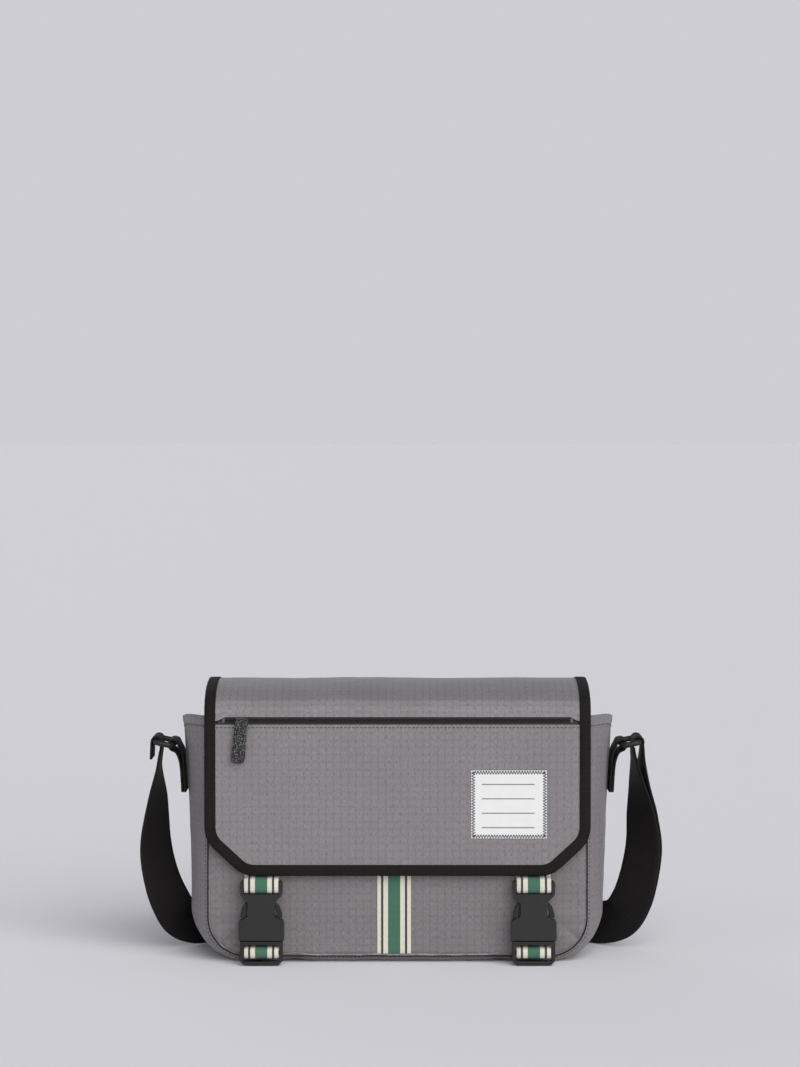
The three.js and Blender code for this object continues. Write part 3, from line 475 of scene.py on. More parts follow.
def pebbled_leather(name, colour):
    """Pebbled leather with small bright grey speckles, painted highlights standing for glints on the grain's high
    spots.
    """
    f = Finish(name, 0.5, Specular_IOR_Level=0.25)
    place = f.object_place(1.0)
    cells = f.node("ShaderNodeTexVoronoi", {"Vector": place, "Scale": 1350.0}, output="Distance")
    fine = f.noise(place, scale=2600.0, detail=3.0)
    # The bright grey speckles are painted highlights: glints on the pebbled grain.
    wear_and_glints = f.ramp(f.noise(place, scale=1500.0, detail=2.0), 0.6, 0.65)
    f.colour(f.blend(f.maths("MULTIPLY", wear_and_glints, 0.85), shade(colour, 0.7), (0.5, 0.5, 0.51, 1.0)))
    return f.bump(f.maths("SUBTRACT", f.maths("MULTIPLY", fine, 0.4), cells), 0.0003, 0.9)


def plain_cloth(name, colour, thread=0.55, roughness=0.6):
    """Fine plain weave."""
    fleck = 0.25
    f = Finish(name, roughness, Sheen_Weight=0.1)
    x, y = f.cloth_place()
    weave = f.maths("MULTIPLY", f.wave(x, thread), f.wave(y, thread))
    flecks = f.noise(f.joined_place(x, y), scale=0.8, detail=4.0)
    # The weave term paints shade between the threads and highlight on their crossings; the flecks vary the tone
    # at random.
    share = f.maths("MULTIPLY_ADD", weave, 0.4, f.maths("MULTIPLY", flecks, 0.6))
    f.colour(f.blend(share, shade(colour, 1 - fleck), shade(colour, 1 + fleck)))
    return f.bump(f.maths("MULTIPLY_ADD", flecks, 0.4, weave), 0.0001, 0.6)


def ruled_label(name, colour, ink):
    """White woven label with thin ruled lines, left blank."""
    f = Finish(name, 0.62, Sheen_Weight=0.1)
    x, y = f.cloth_place()
    lines = None
    for height in (9.6, -0.9, -11.4, -21.9):
        line = f.ramp(f.maths("ABSOLUTE", f.maths("SUBTRACT", y, height + 5.0)), 0.32, 0.5, 1.0, 0.0)
        lines = line if lines is None else f.maths("MAXIMUM", lines, line)
    inside = f.ramp(f.maths("ABSOLUTE", f.maths("ADD", x, 0.6)), 19.0, 19.3, 1.0, 0.0)
    weave = f.maths("MULTIPLY", f.wave(x, 0.5), f.wave(y, 0.5))
    soil = f.noise(f.joined_place(x, y), scale=0.11, detail=5.0)
    # The weave term paints faint shade between the threads; the soil noise darkens the cloth at random.
    share = f.maths("MULTIPLY_ADD", weave, 0.15, f.maths("MULTIPLY", soil, 0.3))
    base = f.blend(share, colour, shade(colour, 0.62))
    f.colour(f.blend(f.maths("MULTIPLY", f.maths("MULTIPLY", lines, inside), 0.75), base, ink))
    return f.bump(weave, 0.00008, 0.6)


def twisted_thread(name, colour):
    f = Finish(name, 0.7, Specular_IOR_Level=0.2)
    twist = f.noise(f.object_place(2600.0), detail=2.0)
    # Colour follows the same twist noise as the bump: painted shade and highlight along the thread.
    f.colour(f.blend(twist, shade(colour, 0.5), shade(colour, 1.8)))
    return f.bump(twist, 0.0001, 0.8)


def dark_metal(name, colour):
    f = Finish(name, 0.34, Metallic=0.85)
    wear_and_glints = f.noise(f.object_place(900.0), detail=4.0)
    f.colour(f.blend(f.ramp(wear_and_glints, 0.5, 0.75), shade(colour, 0.9), shade(colour, 2.2)))
    f.rough(f.ramp(wear_and_glints, 0.3, 0.7, 0.28, 0.45))
    return f.bump(wear_and_glints, 0.00003, 0.5)


def studio_paper(name, colour):
    f = Finish(name, 0.9, Specular_IOR_Level=0.1)
    tooth = f.noise(f.object_place(260.0), detail=3.0)
    f.colour(f.blend(f.maths("MULTIPLY", tooth, 0.04), colour, shade(colour, 0.8)))
    return f.bump(tooth, 0.0002, 0.1)


FINISHES = {}


def finish(name):
    """The material of that name, made the first time that a piece asks for it."""
    if name not in FINISHES:
        colours = bpy.context.scene.bag_colours
        makers = {
            "ripstop": lambda: ripstop(name, colours.cloth),
            # The front cloth under the flap: the ripstop painted darker, as painted shade from the flap.
            "shaded_ripstop": lambda: ripstop(name, shade(colours.cloth, 0.86)),
            "lining": lambda: plain_cloth(name, colours.lining),
            "binding": lambda: ribbed_tape(name, colours.binding),
            "zip_tape": lambda: plain_cloth(name, colours.binding, thread=0.4, roughness=0.5),
            "webbing": lambda: strap_webbing(name, colours.webbing),
            "stripe": lambda: striped_tape(
                name, colours.stripe_ground, colours.stripe_band, colours.stripe_line
            ),
            "label": lambda: ruled_label(name, colours.label, shade(colours.thread, 1.0)),
            "plastic": lambda: moulded_plastic(name, colours.plastic),
            "clip_plastic": lambda: moulded_plastic(name, shade(colours.plastic, 0.62)),
            "leather": lambda: pebbled_leather(name, colours.leather),
            "thread": lambda: twisted_thread(name, colours.thread),
            "metal": lambda: dark_metal(name, colours.metal),
            "board": lambda: moulded_plastic(name, (0.09, 0.09, 0.1), 0.55),
            "tab": lambda: strap_webbing(name, colours.webbing),
            "paper": lambda: studio_paper(name, colours.paper),
        }
        FINISHES[name] = makers[name]()
    return FINISHES[name]


# ---- node trees ----
def new_tree(name, sockets):
    """A geometry tree with these named inputs, and a short call that adds a node to it."""
    tree = bpy.data.node_groups.new(name, "GeometryNodeTree")
    face = tree.interface
    face.new_socket("Geometry", in_out="OUTPUT", socket_type="NodeSocketGeometry")
    face.new_socket("Geometry", in_out="INPUT", socket_type="NodeSocketGeometry")
    for socket, kind in sockets.items():
        face.new_socket(socket, in_out="INPUT", socket_type="NodeSocket" + kind)

    def node(kind, inputs=(), **settings):
        made = tree.nodes.new(kind)
        for key, value in settings.items():
            setattr(made, key, value)
        for key, value in dict(inputs).items():
            if isinstance(value, bpy.types.NodeSocket):
                tree.links.new(value, made.inputs[key])
            else:
                made.inputs[key].default_value = value
        return made

    return tree, node


def grown(obj, tree, values):
    """The object as a plain mesh, made by a node tree from these inputs."""
    run = obj.modifiers.new(tree.name, "NODES")
    run.node_group = tree
    for item in tree.interface.items_tree:
        if item.in_out == "INPUT" and item.name in values:
            run[item.identifier] = values[item.name]
    return settle(obj)


# ---- stitches ----
def stitch_tree():
    """Stitches along a line: pitch, size and the turn of each second stitch are inputs."""
    tree, node = new_tree("stitch_run", {
        "Pitch": "Float", "Stitch Length": "Float", "Thread Width": "Float", "Turn": "Float",
        "Thread": "Material",
    })
    given = node("NodeGroupInput").outputs
    line = node("GeometryNodeMeshToCurve", {0: given["Geometry"]}).outputs[0]
    even = node(
        "GeometryNodeResampleCurve", {"Curve": line, "Length": given["Pitch"]}, mode="LENGTH"
    ).outputs[0]
    tangent = node("GeometryNodeInputTangent").outputs[0]
    up = node("GeometryNodeInputNamedAttribute", {"Name": "up"}, data_type="FLOAT_VECTOR").outputs[0]
    facing = node(
        "FunctionNodeAxesToRotation", {0: tangent, 1: up}, primary_axis="X", secondary_axis="Z"
    ).outputs[0]
    index = node("GeometryNodeInputIndex").outputs[0]
    odd = node("ShaderNodeMath", {0: index, 1: 2.0}, operation="MODULO").outputs[0]
    sign = node("ShaderNodeMath", {0: odd, 1: 2.0, 2: -1.0}, operation="MULTIPLY_ADD").outputs[0]
    turn = node("ShaderNodeMath", {0: sign, 1: given["Turn"]}, operation="MULTIPLY").outputs[0]
    about = node("FunctionNodeAxisAngleToRotation", {0: (0.0, 0.0, 1.0), 1: turn}).outputs[0]
    turned = node("FunctionNodeRotateRotation", {0: facing, 1: about}, rotation_space="LOCAL").outputs[0]
    bead = node("GeometryNodeMeshUVSphere", {"Segments": 6, "Rings": 4, "Radius": 0.5}).outputs[0]
    size = node(
        "ShaderNodeCombineXYZ",
        {0: given["Stitch Length"], 1: given["Thread Width"], 2: given["Thread Width"]}
    ).outputs[0]
    placed = node(
        "GeometryNodeInstanceOnPoints", {"Points": even, "Instance": bead, "Rotation": turned, "Scale": size}
    ).outputs[0]
    plain = node("GeometryNodeRealizeInstances", {0: placed}).outputs[0]
    threaded = node("GeometryNodeSetMaterial", {0: plain, "Material": given["Thread"]}).outputs[0]
    smooth_face = node("GeometryNodeSetShadeSmooth", {0: threaded}).outputs[0]
    node("NodeGroupOutput", {0: smooth_face})
    return tree


def stitches(name, points, ups, pitch=2.9, length=2.3, width=0.55, turn=0.0, material="thread"):
    """A run of stitches through the points, in millimetres, with ups pointing out of the cloth."""
    p = np.array(points, float)
    u = np.broadcast_to(np.array(ups, float), p.shape)
    mesh = bpy.data.meshes.new(name)
    mesh.from_pydata((p * MM).tolist(), [(i, i + 1) for i in range(len(p) - 1)], [])
    layer = mesh.attributes.new("up", "FLOAT_VECTOR", "POINT")
    layer.data.foreach_set("vector", u.astype(np.float32).ravel())
    obj = new_object(name, mesh)
    values = {
        "Pitch": pitch * MM,
        "Stitch Length": length * MM,
        "Thread Width": width * MM,
        "Turn": math.radians(turn),
        "Thread": finish(material),
    }
    grown(obj, bpy.data.node_groups.get("stitch_run") or stitch_tree(), values)
    if "up" in obj.data.attributes:
        obj.data.attributes.remove(obj.data.attributes["up"])
    return obj


# ---- cloth of the bag's body ----
def seam_half(z):
    """Half the panels' width at a height."""
    low = SEAM_Z + PANEL_CORNER
    drop = min(1.0, max(0.0, (low - z) / PANEL_CORNER))
    return HALF_WIDTH - PANEL_CORNER * (1 - math.sqrt(max(0.0, 1 - drop * drop)))


SIDE_RUN = GUSSET_TOP - SEAM_Z - PANEL_CORNER
CORNER_RUN = PANEL_CORNER * math.pi / 2
BASE_RUN = 2 * (HALF_WIDTH - PANEL_CORNER)
SEAM_RUN = 2 * SIDE_RUN + 2 * CORNER_RUN + BASE_RUN


def seam_at(run):
    """The seam's point, outward direction and turn at a distance along it from the left top."""
    side = -1 if run < SEAM_RUN / 2 else 1
    back = min(run, SEAM_RUN - run)
    if back <= SIDE_RUN:
        return side, HALF_WIDTH, GUSSET_TOP - back, 1.0, 0.0, 0.0
    centre = HALF_WIDTH - PANEL_CORNER
    if back <= SIDE_RUN + CORNER_RUN:
        turn = (back - SIDE_RUN) / CORNER_RUN
        a = turn * math.pi / 2
        return (
            side, centre + PANEL_CORNER * math.cos(a), SEAM_Z + PANEL_CORNER * (1 - math.sin(a)),
            math.cos(a), -math.sin(a), turn,
        )
    return side, centre - (back - SIDE_RUN - CORNER_RUN), SEAM_Z, 0.0, -1.0, 1.0


def seam_near(x, z):
    """Distance in from the seam, and the place along it, of a point on a panel."""
    centre, low = HALF_WIDTH - PANEL_CORNER, SEAM_Z + PANEL_CORNER
    if z >= low:
        from_seam, run = HALF_WIDTH - abs(x), GUSSET_TOP - z
        under = z - SEAM_Z
        if under < from_seam:
            from_seam, run = under, SIDE_RUN + CORNER_RUN + centre - abs(x)
    elif abs(x) <= centre:
        from_seam, run = z - SEAM_Z, SIDE_RUN + CORNER_RUN + centre - abs(x)
        if HALF_WIDTH - abs(x) < from_seam:
            from_seam, run = HALF_WIDTH - abs(x), SIDE_RUN
    else:
        dx, dz = abs(x) - centre, low - z
        from_seam = PANEL_CORNER - math.hypot(dx, dz)
        run = SIDE_RUN + PANEL_CORNER * math.atan2(dz, dx)
    return max(0.0, from_seam), run if x < 0 else SEAM_RUN - run


def gather(run):
    """How far the seam's stitches draw the cloth up at a place along it."""
    shape = bpy.context.scene.bag_shape
    back = min(run, SEAM_RUN - run)
    corner = math.exp(-(((back - SIDE_RUN - CORNER_RUN / 2) / 32) ** 2))
    fine = ripple(run / 4.6, 3.1) + 0.6 * ripple(run / 9.0, 8.4)
    return fine * shape.pucker / MM * (0.55 + 1.1 * corner)


def front_y(x, z):
    """The outer face of the front cloth."""
    shape = bpy.context.scene.bag_shape
    away, run = seam_near(x, z)
    puff = shape.puff / MM * smooth(away, 0, 38)
    waves = (
        0.9 * ripple(x / 58, z / 40, 1.3) * smooth(away, 0, 20)
        + 0.28 * ripple(x / 17, z / 21, 5.2) * smooth(away, 2, 16)
    )
    draw = gather(run) * math.exp(-away / 10) * smooth(away, 0, 2.5)
    back = min(run, SEAM_RUN - run)
    draw += (
        1.0 * ripple(run / 13, 5.5) * math.exp(-((away - 14) / 14) ** 2)
        * math.exp(-((back - SIDE_RUN - 8) / 46) ** 2)
    )
    dip = 1.1 * (1 - smooth(away, 0, 3.4))
    return -HALF_DEPTH - min(puff, 1.9) - waves * 0.8 + dip + draw


def back_y(x, z):
    away, run = seam_near(x, z)
    puff = 1.6 * smooth(away, 0, 36)
    waves = 0.6 * ripple(x / 64, z / 47, 11.3) + 0.25 * ripple(x / 19, z / 23, 15.2)
    return (
        HALF_DEPTH + puff - 1.1 * (1 - smooth(away, 0, 3.4))
        - gather(run) * math.exp(-away / 8.5) * smooth(away, 0, 2.5) + waves * smooth(away, 2, 18)
    )


def panel_rows(top):
    low = SEAM_Z + PANEL_CORNER
    rows = [mix(top, low, i / 62) for i in range(62)]
    return rows + [SEAM_Z + PANEL_CORNER * (1 - math.sin(i / 22 * math.pi / 2)) for i in range(23)]


def panel(name, top, depth_at, side, material):
    """A front or back cloth: side is 1 where its outer face looks to the front."""
    rows = panel_rows(top)
    across = np.linspace(-1, 1, 150)
    grid, uv = [], []
    for z in rows:
        xs = [side * t * seam_half(z) for t in across]
        grid.append([(x, depth_at(x, z), z) for x in xs])
        uv.append([(x, z) for x in xs])
    return thicken(sheet(name, grid, uv, material), BODY_CLOTH)


def side_bulge(z):
    return 14.3 + 7.4 * max(0.0, z / GUSSET_TOP) ** 2.2


def rim_drop(z, t):
    """The gusset's rim falls towards the back."""
    return 8.0 * smooth(t, -0.75, 0.7) * smooth(z, 95, GUSSET_TOP)


def band_point(run, t, inward=0.0):
    """The outer face of the gussets and base at a distance along the seam and across the depth."""
    side, x, z, out_x, out_z, turn = seam_at(run)
    z -= rim_drop(z, t)
    share = mix(1 - abs(t) ** 2.2, min(1.0, (1 - abs(t)) / (1 - BASE_FLAT)), turn)
    bulge = mix(side_bulge(z), SEAM_Z, turn) * share
    edge = (1 - abs(t)) * HALF_DEPTH
    upright = 1 - turn
    folds = 1.5 * ripple(t * 2.3 + side * 4, z / 66, side * 7.7) + 0.5 * ripple(t * 6, z / 24, side * 3.3)
    crease = -1.7 * math.exp(-(((t + 0.34 + 0.1 * math.sin(z / 40)) / 0.1) ** 2)) * smooth(z, 70, 170)
    relief = (folds * 0.75 + crease - 0.4) * smooth(edge, 4, 24) * upright
    relief += 0.35 * ripple(run / 15, t * 3, 2.0) * smooth(edge, 3, 12) * (1 - 0.6 * turn)
    draw = gather(run) * math.exp(-edge / 7.5) * smooth(edge, 0, 2.5)
    hem = 0.55 * smooth(z, GUSSET_TOP - 9.5, GUSSET_TOP - 8.2) * upright
    reach = bulge + relief + hem - draw * 0.9 - inward
    if turn > 0.6:
        reach = min(reach, SEAM_Z - inward)
    lift = 0.0
    if turn >= 1:
        px = side * x
        lift = (
            1.4 * abs(ripple(px / 34, 71.0)) + 1.6 * math.exp(-(((abs(px) - 74) / 9) ** 2))
        ) * smooth(-t, 0.3, 0.95)
    return side * (x + out_x * reach), t * HALF_DEPTH, max(z + out_z * reach + lift, inward)


def gusset_band():
    """Both gussets and the base as one band of cloth, hemmed at both ends."""
    runs = np.concatenate([
        np.linspace(0, SIDE_RUN, 84)[:-1], np.linspace(SIDE_RUN, SIDE_RUN + CORNER_RUN, 27)[:-1],
        np.linspace(SIDE_RUN + CORNER_RUN, SEAM_RUN - SIDE_RUN - CORNER_RUN, 96)[:-1],
        np.linspace(SEAM_RUN - SIDE_RUN - CORNER_RUN, SEAM_RUN - SIDE_RUN, 27)[:-1],
        np.linspace(SEAM_RUN - SIDE_RUN, SEAM_RUN, 84),
    ])
    across = np.sin(np.linspace(-1, 1, 56) * math.pi / 2) * 0.35 + np.linspace(-1, 1, 56) * 0.65
    grid = [[band_point(run, t) for t in across] for run in runs]
    uv = [[(t * HALF_DEPTH, run) for t in across] for run in runs]
    return thicken(sheet("gusset_band", grid, uv, finish("ripstop")), BODY_CLOTH)


def lining_ring(z, inset):
    points = []
    floor_drop = max(0.0, SEAM_Z + PANEL_CORNER - z) / PANEL_CORNER
    half = seam_half(z)
    bulge = side_bulge(z) * (1 - floor_drop)
    depth = HALF_DEPTH - 2.1 - inset
    for side in (1, -1):
        for i in range(13):
            t = side * (-1 + i / 6)
            points.append((
                side * (half + bulge * (1 - abs(t) ** 2.2) * 0.9 - 3.0 - inset), t * depth, z - rim_drop(z, t)
            ))
        for i in range(1, 24):
            u = 1 - i / 12
            points.append((side * (half - 3.0 - inset) * u, side * depth, z - rim_drop(z, side)))
    return points


def lining_cup():
    """The open cup of lining inside the body."""
    heights = [173.5, 165, 150, 130, 110, 90, 70, 52, 38, 28, 20, 13, 9]
    rings = [lining_ring(z, 0) for z in heights]
    rings.append([(x * 0.985, y * 0.94, 5.6) for x, y, _ in rings[-1]])
    size = len(rings[0])
    points = []
    for ring in rings:
        for x, y, z in ring:
            soft = 0.8 * ripple(x / 30, y / 25, z / 35)
            length = math.hypot(x, y) or 1.0
            points.append((x - x / length * abs(soft), y - y / length * abs(soft), z))
    faces = grid_faces(len(rings), size, wrap=True)
    faces.append(tuple((len(rings) - 1) * size + j for j in range(size)))
    uv = [(math.atan2(y, x) * 100, z) for x, y, z in points]
    obj = face_away(mesh_object("lining_shell", points, faces, finish("lining"), uv))
    return thicken(obj, 0.6)


def seam_thread_and_shadow(name, side):
    """A dark cord that lies in a panel's seam: the seam's black thread and its painted shadow in the groove."""
    loops = []
    for run in np.arange(1.0, SEAM_RUN - 1.0, 1.5):
        here, x, z, out_x, out_z, _ = seam_at(run)
        turns = np.linspace(0, 2 * math.pi, 7)[:-1]
        loops.append([
            (
                here * (x + out_x * 0.5 * math.cos(a)), side * (HALF_DEPTH - 0.25 + 0.42 * math.sin(a)),
                z + out_z * 0.5 * math.cos(a)
            )
            for a in turns
        ])
    return tube(name, loops, finish("thread"))


# ---- ribbons and wires ----
RIBBON_STEP = 0.8


def section(width, thick, across=6):
    """A flat section with rounded edges, as (along the width, through the thickness)."""
    w, n = width / 2, thick / 2
    top = [(u, n) for u in np.linspace(w - n * 0.7, -w + n * 0.7, across)]
    left = [(-w, n * 0.35), (-w, -n * 0.35)]
    low = [(u, -n) for u in np.linspace(-w + n * 0.7, w - n * 0.7, across)]
    right = [(w, -n * 0.35), (w, n * 0.35)]
    return top + left + low + right


def ribbon(name, centres, wides, width, thick, material, across=6):
    """A ribbon with an even section along a line of centres, its width along wides."""
    c = np.array(centres, float)
    s = lengths(c)
    along = np.gradient(c, axis=0)
    along /= np.linalg.norm(along, axis=1)[:, None]
    shape = section(width, thick, across)
    loops, uvs = [], []
    for i in range(len(c)):
        wide = np.array(wides[i], float)
        wide -= along[i] * wide.dot(along[i])
        wide /= np.linalg.norm(wide)
        thin = np.cross(along[i], wide)
        loops.append([c[i] + wide * u + thin * n for u, n in shape])
        uvs.append([(s[i], u) for u, _ in shape])
    return tube(name, loops, finish(material), uvs)


def flat_ribbon(name, line, x, width, thick, material):
    """A ribbon whose width runs along X, on a line of (y, z) points."""
    path = evenly(curve_line(line, 0, len(line) - 1, 40 * len(line)), RIBBON_STEP)
    centres = [(x, y, z) for y, z in path]
    return ribbon(name, centres, [(1, 0, 0)] * len(centres), width, thick, material, across=10)


def moulded(node, name, material, bevel=0.45, segments=2):
    """A moulded piece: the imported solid's own shape with rounded edges."""
    source = bpy.data.objects[node]
    mesh = source.data.copy()
    mesh.name = name
    mesh.materials.clear()
    bm = bmesh.new()
    bm.from_mesh(mesh)
    bmesh.ops.remove_doubles(bm, verts=bm.verts, dist=1e-5)
    bmesh.ops.dissolve_limit(bm, angle_limit=math.radians(1.5), verts=bm.verts, edges=bm.edges)
    bm.to_mesh(mesh)
    bm.free()
    mesh.polygons.foreach_set("use_smooth", [True] * len(mesh.polygons))
    obj = new_object(name, mesh, finish(material))
    round_edges(obj, bevel, segments)
    return settle(obj)


def round_edges(obj, width, segments=2, angle=28):
    edge = obj.modifiers.new("edges", "BEVEL")
    edge.width = width * MM
    edge.segments = segments
    edge.limit_method = "ANGLE"
    edge.angle_limit = math.radians(angle)
    edge.miter_outer = "MITER_ARC"
    shading = obj.modifiers.new("shading", "WEIGHTED_NORMAL")
    shading.keep_sharp = True
    return obj


# ---- the flap ----
MIDDLE_AT = 3.5  # where the two cloths over the mouth meet, on the flat top
WELT_AT = 8.5
LINE_END = 9
FLAP_TOP_Z = 178.0


def flap_at(t, depth=0.0):
    """A point of the flap's line, sunk by depth, and the direction out of it, as (y, z) pairs."""
    at = curve_point(FLAP_LINE, t)
    along = curve_point(FLAP_LINE, min(t + 0.01, LINE_END)) - curve_point(FLAP_LINE, max(t - 0.01, 0))
    along /= np.linalg.norm(along)
    out = np.array([along[1], -along[0]])
    return at - out * depth, out


def flap_relief(x, run):
    """Soft waves over the flap, run counted down its line from the seam."""
    near = 132.5 - abs(x)
    waves = 0.75 * ripple(x / 62, run / 45, 21.0) + 0.22 * ripple(x / 18, run / 15, 24.0)
    return waves * smooth(near, 0, 20) - 0.3 * abs(ripple(run / 6, 31.0)) * math.exp(-near / 7)


def flap_half(z, inset):
    """Half the flap's width at a height, in from its edge."""
    half = FLAP_HALF - inset
    slope = inset * 0.41
    across, up = CHAMFER[0] - slope, CHAMFER[1] - slope
    low = FLAP_BOTTOM + inset
    return half if z >= low + up else half - across * (1 - (z - low) / up)


def flap_y(x, z):
    """The outer face of the flap's front."""
    low = z - FLAP_BOTTOM - BINDING_WIDTH
    near = min(132.5 - abs(x), low, (132.5 - abs(x) + low) * 0.72 - 19)
    near = max(near, 0.0)
    from_zip = smooth(ZIP_SLOT[0] - z, 0, 14)
    waves = 0.62 * ripple(x / 60, z / 44, 41.0) + 0.24 * ripple(x / 19, z / 16, 44.0)
    pull = 0.35 * math.exp(-near / 7) * abs(ripple((x + z) / 6.5, 47.0))
    webs = 0.35 * smooth(14 - abs(abs(x) - BUCKLE_X), 0, 4) * smooth(96 - z, 0, 22)
    return (
        FLAP_FACE - (waves * smooth(near, 0, 16) * mix(0.5, 1, from_zip)) * 0.8
        + pull + webs * 0.5 - 0.25 * smooth(near, 0, 12)
    )


def line_sheet(
    name, first, last, half, depth, thick, material, rows=60, columns=140, relief=True, taper=False
):
    """Cloth along the flap's line between two of its places."""
    start = lengths(curve_line(FLAP_LINE, 0, first, 60))[-1] if first else 0.0
    grid, uv = [], []
    steps = lengths(curve_line(FLAP_LINE, first, last, rows))
    for i in range(rows + 1):
        row, marks = [], []
        for j in range(columns + 1):
            x = mix(-half, half, j / columns)
            end = last
            if taper:
                end = mix(LINE_END - 0.02, last, smooth(half - abs(x), 0, 8.2))
            t = mix(first, end, i / rows)
            run = start + steps[i]
            lift = flap_relief(x, run) if relief else 0.0
            if taper:
                lift *= 1 - 0.8 * smooth(t, 7, 8.4)
            (y, z), _ = flap_at(t, depth - lift)
            row.append((x, y, z))
            marks.append((x, -run))
        grid.append(row)
        uv.append(marks)
    return thicken(sheet(name, grid, uv, finish(material)), thick)


def flap_stitches(name, first, last, xs, depth, **sizes):
    """Rows of stitches that run along the flap's line."""
    made = []
    for k, x in enumerate(xs):
        points, ups = [], []
        for t in np.linspace(first, last, 60):
            (y, z), out = flap_at(t, depth)
            points.append((x, y, z))
            ups.append((0, out[0], out[1]))
        made.append(stitches(f"{name}_{k}", points, ups, **sizes))
    return made


CHANNEL = [
    (8.2, 0.42), (8.05, 0.08), (7.6, 0.0), (4.0, -0.12), (1.2, 0.0), (0.45, 0.3), (0.05, 1.2), (-0.05, 2.3),
    (0.05, 3.4),
    (0.45, 4.3), (1.2, 4.6), (4.0, 4.7), (7.6, 4.6), (8.05, 4.52), (8.2, 4.18), (8.0, 3.85), (1.6, 3.85),
    (1.1, 3.4), (1.1, 1.2), (1.6, 0.75),
    (8.0, 0.75),
]


def binding_loop(edge, inward, out, stretch=1.0):
    """The binding's folded section at an edge point of its front face."""
    e, n, f = (np.array(v, float) for v in (edge, inward, out))
    return [e + n * u * stretch - f * w for u, w in CHANNEL]


def channel_marks(run):
    across = np.concatenate([[0.0], np.cumsum(np.linalg.norm(np.diff(np.array(CHANNEL), axis=0), axis=1))])
    return [(run, a) for a in across]


def line_binding(name, first, last, side, rows):
    loops, marks = [], []
    steps = lengths(curve_line(FLAP_LINE, 0, last, 400))
    for i in range(rows + 1):
        t = mix(first, last, i / rows)
        (y, z), out = flap_at(t, -0.6)
        loops.append(binding_loop((side * FLAP_HALF, y, z), (-side, 0, 0), (0, *out)))
        marks.append(channel_marks(np.interp(t, np.linspace(0, last, 401), steps)))
    return tube(name, loops, finish("binding"), marks)


EDGE_ROUND = 22.0


def front_edge():
    """The flap's edge below the fold, its corners rounded: points and directions inwards."""
    corners = np.array([
        (-FLAP_HALF, FLAP_TOP_Z), (-FLAP_HALF, FLAP_BOTTOM + CHAMFER[1]),
        (-FLAP_HALF + CHAMFER[0], FLAP_BOTTOM),
        (FLAP_HALF - CHAMFER[0], FLAP_BOTTOM), (FLAP_HALF, FLAP_BOTTOM + CHAMFER[1]), (FLAP_HALF, FLAP_TOP_Z),
    ], float)
    ways = np.diff(corners, axis=0)
    ways /= np.linalg.norm(ways, axis=1)[:, None]
    points = [corners[0]]
    for k in range(1, 5):
        a, b = ways[k - 1], ways[k]
        half = math.acos(min(1.0, a.dot(b))) / 2
        inward = (b - a) / np.linalg.norm(b - a)
        centre = corners[k] + inward * EDGE_ROUND / math.cos(half)
        for turn in np.linspace(-half, half, 9):
            c, s = math.cos(turn), math.sin(turn)
            points.append(centre - (inward * c - np.array([-inward[1], inward[0]]) * -s) * EDGE_ROUND)
    points.append(corners[5])
    line = evenly(points, 2.4)
    along = np.gradient(line, axis=0)
    along /= np.linalg.norm(along, axis=1)[:, None]
    return [(line[i], np.array([-along[i][1], along[i][0]]), 1.0) for i in range(len(line))]


def front_binding():
    loops, marks = [], []
    run = 0.0
    last = None
    for at, inward, stretch in front_edge():
        run += 0 if last is None else float(np.linalg.norm(at - last))
        last = at
        soft = 0.22 * ripple(run / 16, 61.0)
        loops.append(binding_loop(
            (at[0], FLAP_FACE - 0.6 + soft * 0.3, at[1]), (inward[0], 0, inward[1]), (0, -1, 0), stretch
        ))
        marks.append(channel_marks(run))
    return tube("front_binding_tape", loops, finish("binding"), marks)


def binding_stitch_line(inset, y):
    points = []
    for at, inward, stretch in front_edge():
        points.append((at[0] + inward[0] * inset * stretch, y, at[1] + inward[1] * inset * stretch))
    return points


def flap_front_sheet(name, top, inset, face, thick, material, side=1):
    low = FLAP_BOTTOM + inset
    up = CHAMFER[1] - inset * 0.41
    rows = [mix(top, low + up, i / 56) for i in range(56)] + [mix(low + up, low, i / 22) for i in range(23)]
    grid, uv = [], []
    for z in rows:
        half = flap_half(z, inset)
        xs = [side * t * half for t in np.linspace(-1, 1, 160)]
        grid.append([(x, face(x, z), z) for x in xs])
        uv.append([(x, z) for x in xs])
    return thicken(sheet(name, grid, uv, finish(material), (0, 300 * side - 50, 120)), thick)


def patch(name, x0, x1, z0, z1, face, lift, thick, material, marks=(0, 0), columns=40, rows=36):
    """A flat patch that lies on a face."""
    grid, uv = [], []
    for j in range(rows + 1):
        z = mix(z1, z0, j / rows)
        xs = [mix(x0, x1, i / columns) for i in range(columns + 1)]
        grid.append([(x, face(x, z) - lift, z) for x in xs])
        uv.append([(x - marks[0], z - marks[1]) for x in xs])
    return thicken(sheet(name, grid, uv, finish(material)), thick)


# ---- routes of the strap: (x, y, z) and the direction of its width ----
WRAP = RING_WIRE / 2 + 0.3 + STRAP_THICK / 2 + 0.3
STRAP_Y = 66.0
INNER_Y = 63.6  # the strap's inner layer behind the bag
RAISED = 20.8
LOW_Z = 16.3
JOINT_X = -45.0


def over_bar(side):
    x, z = RING_OUTER
    turns = [math.radians(d) for d in (180, 150, 120, 90, 60, 30, 0)]
    return [((side * (x - WRAP * math.cos(a)), 0, z + WRAP * math.sin(a)), (0, 1, 0)) for a in turns]


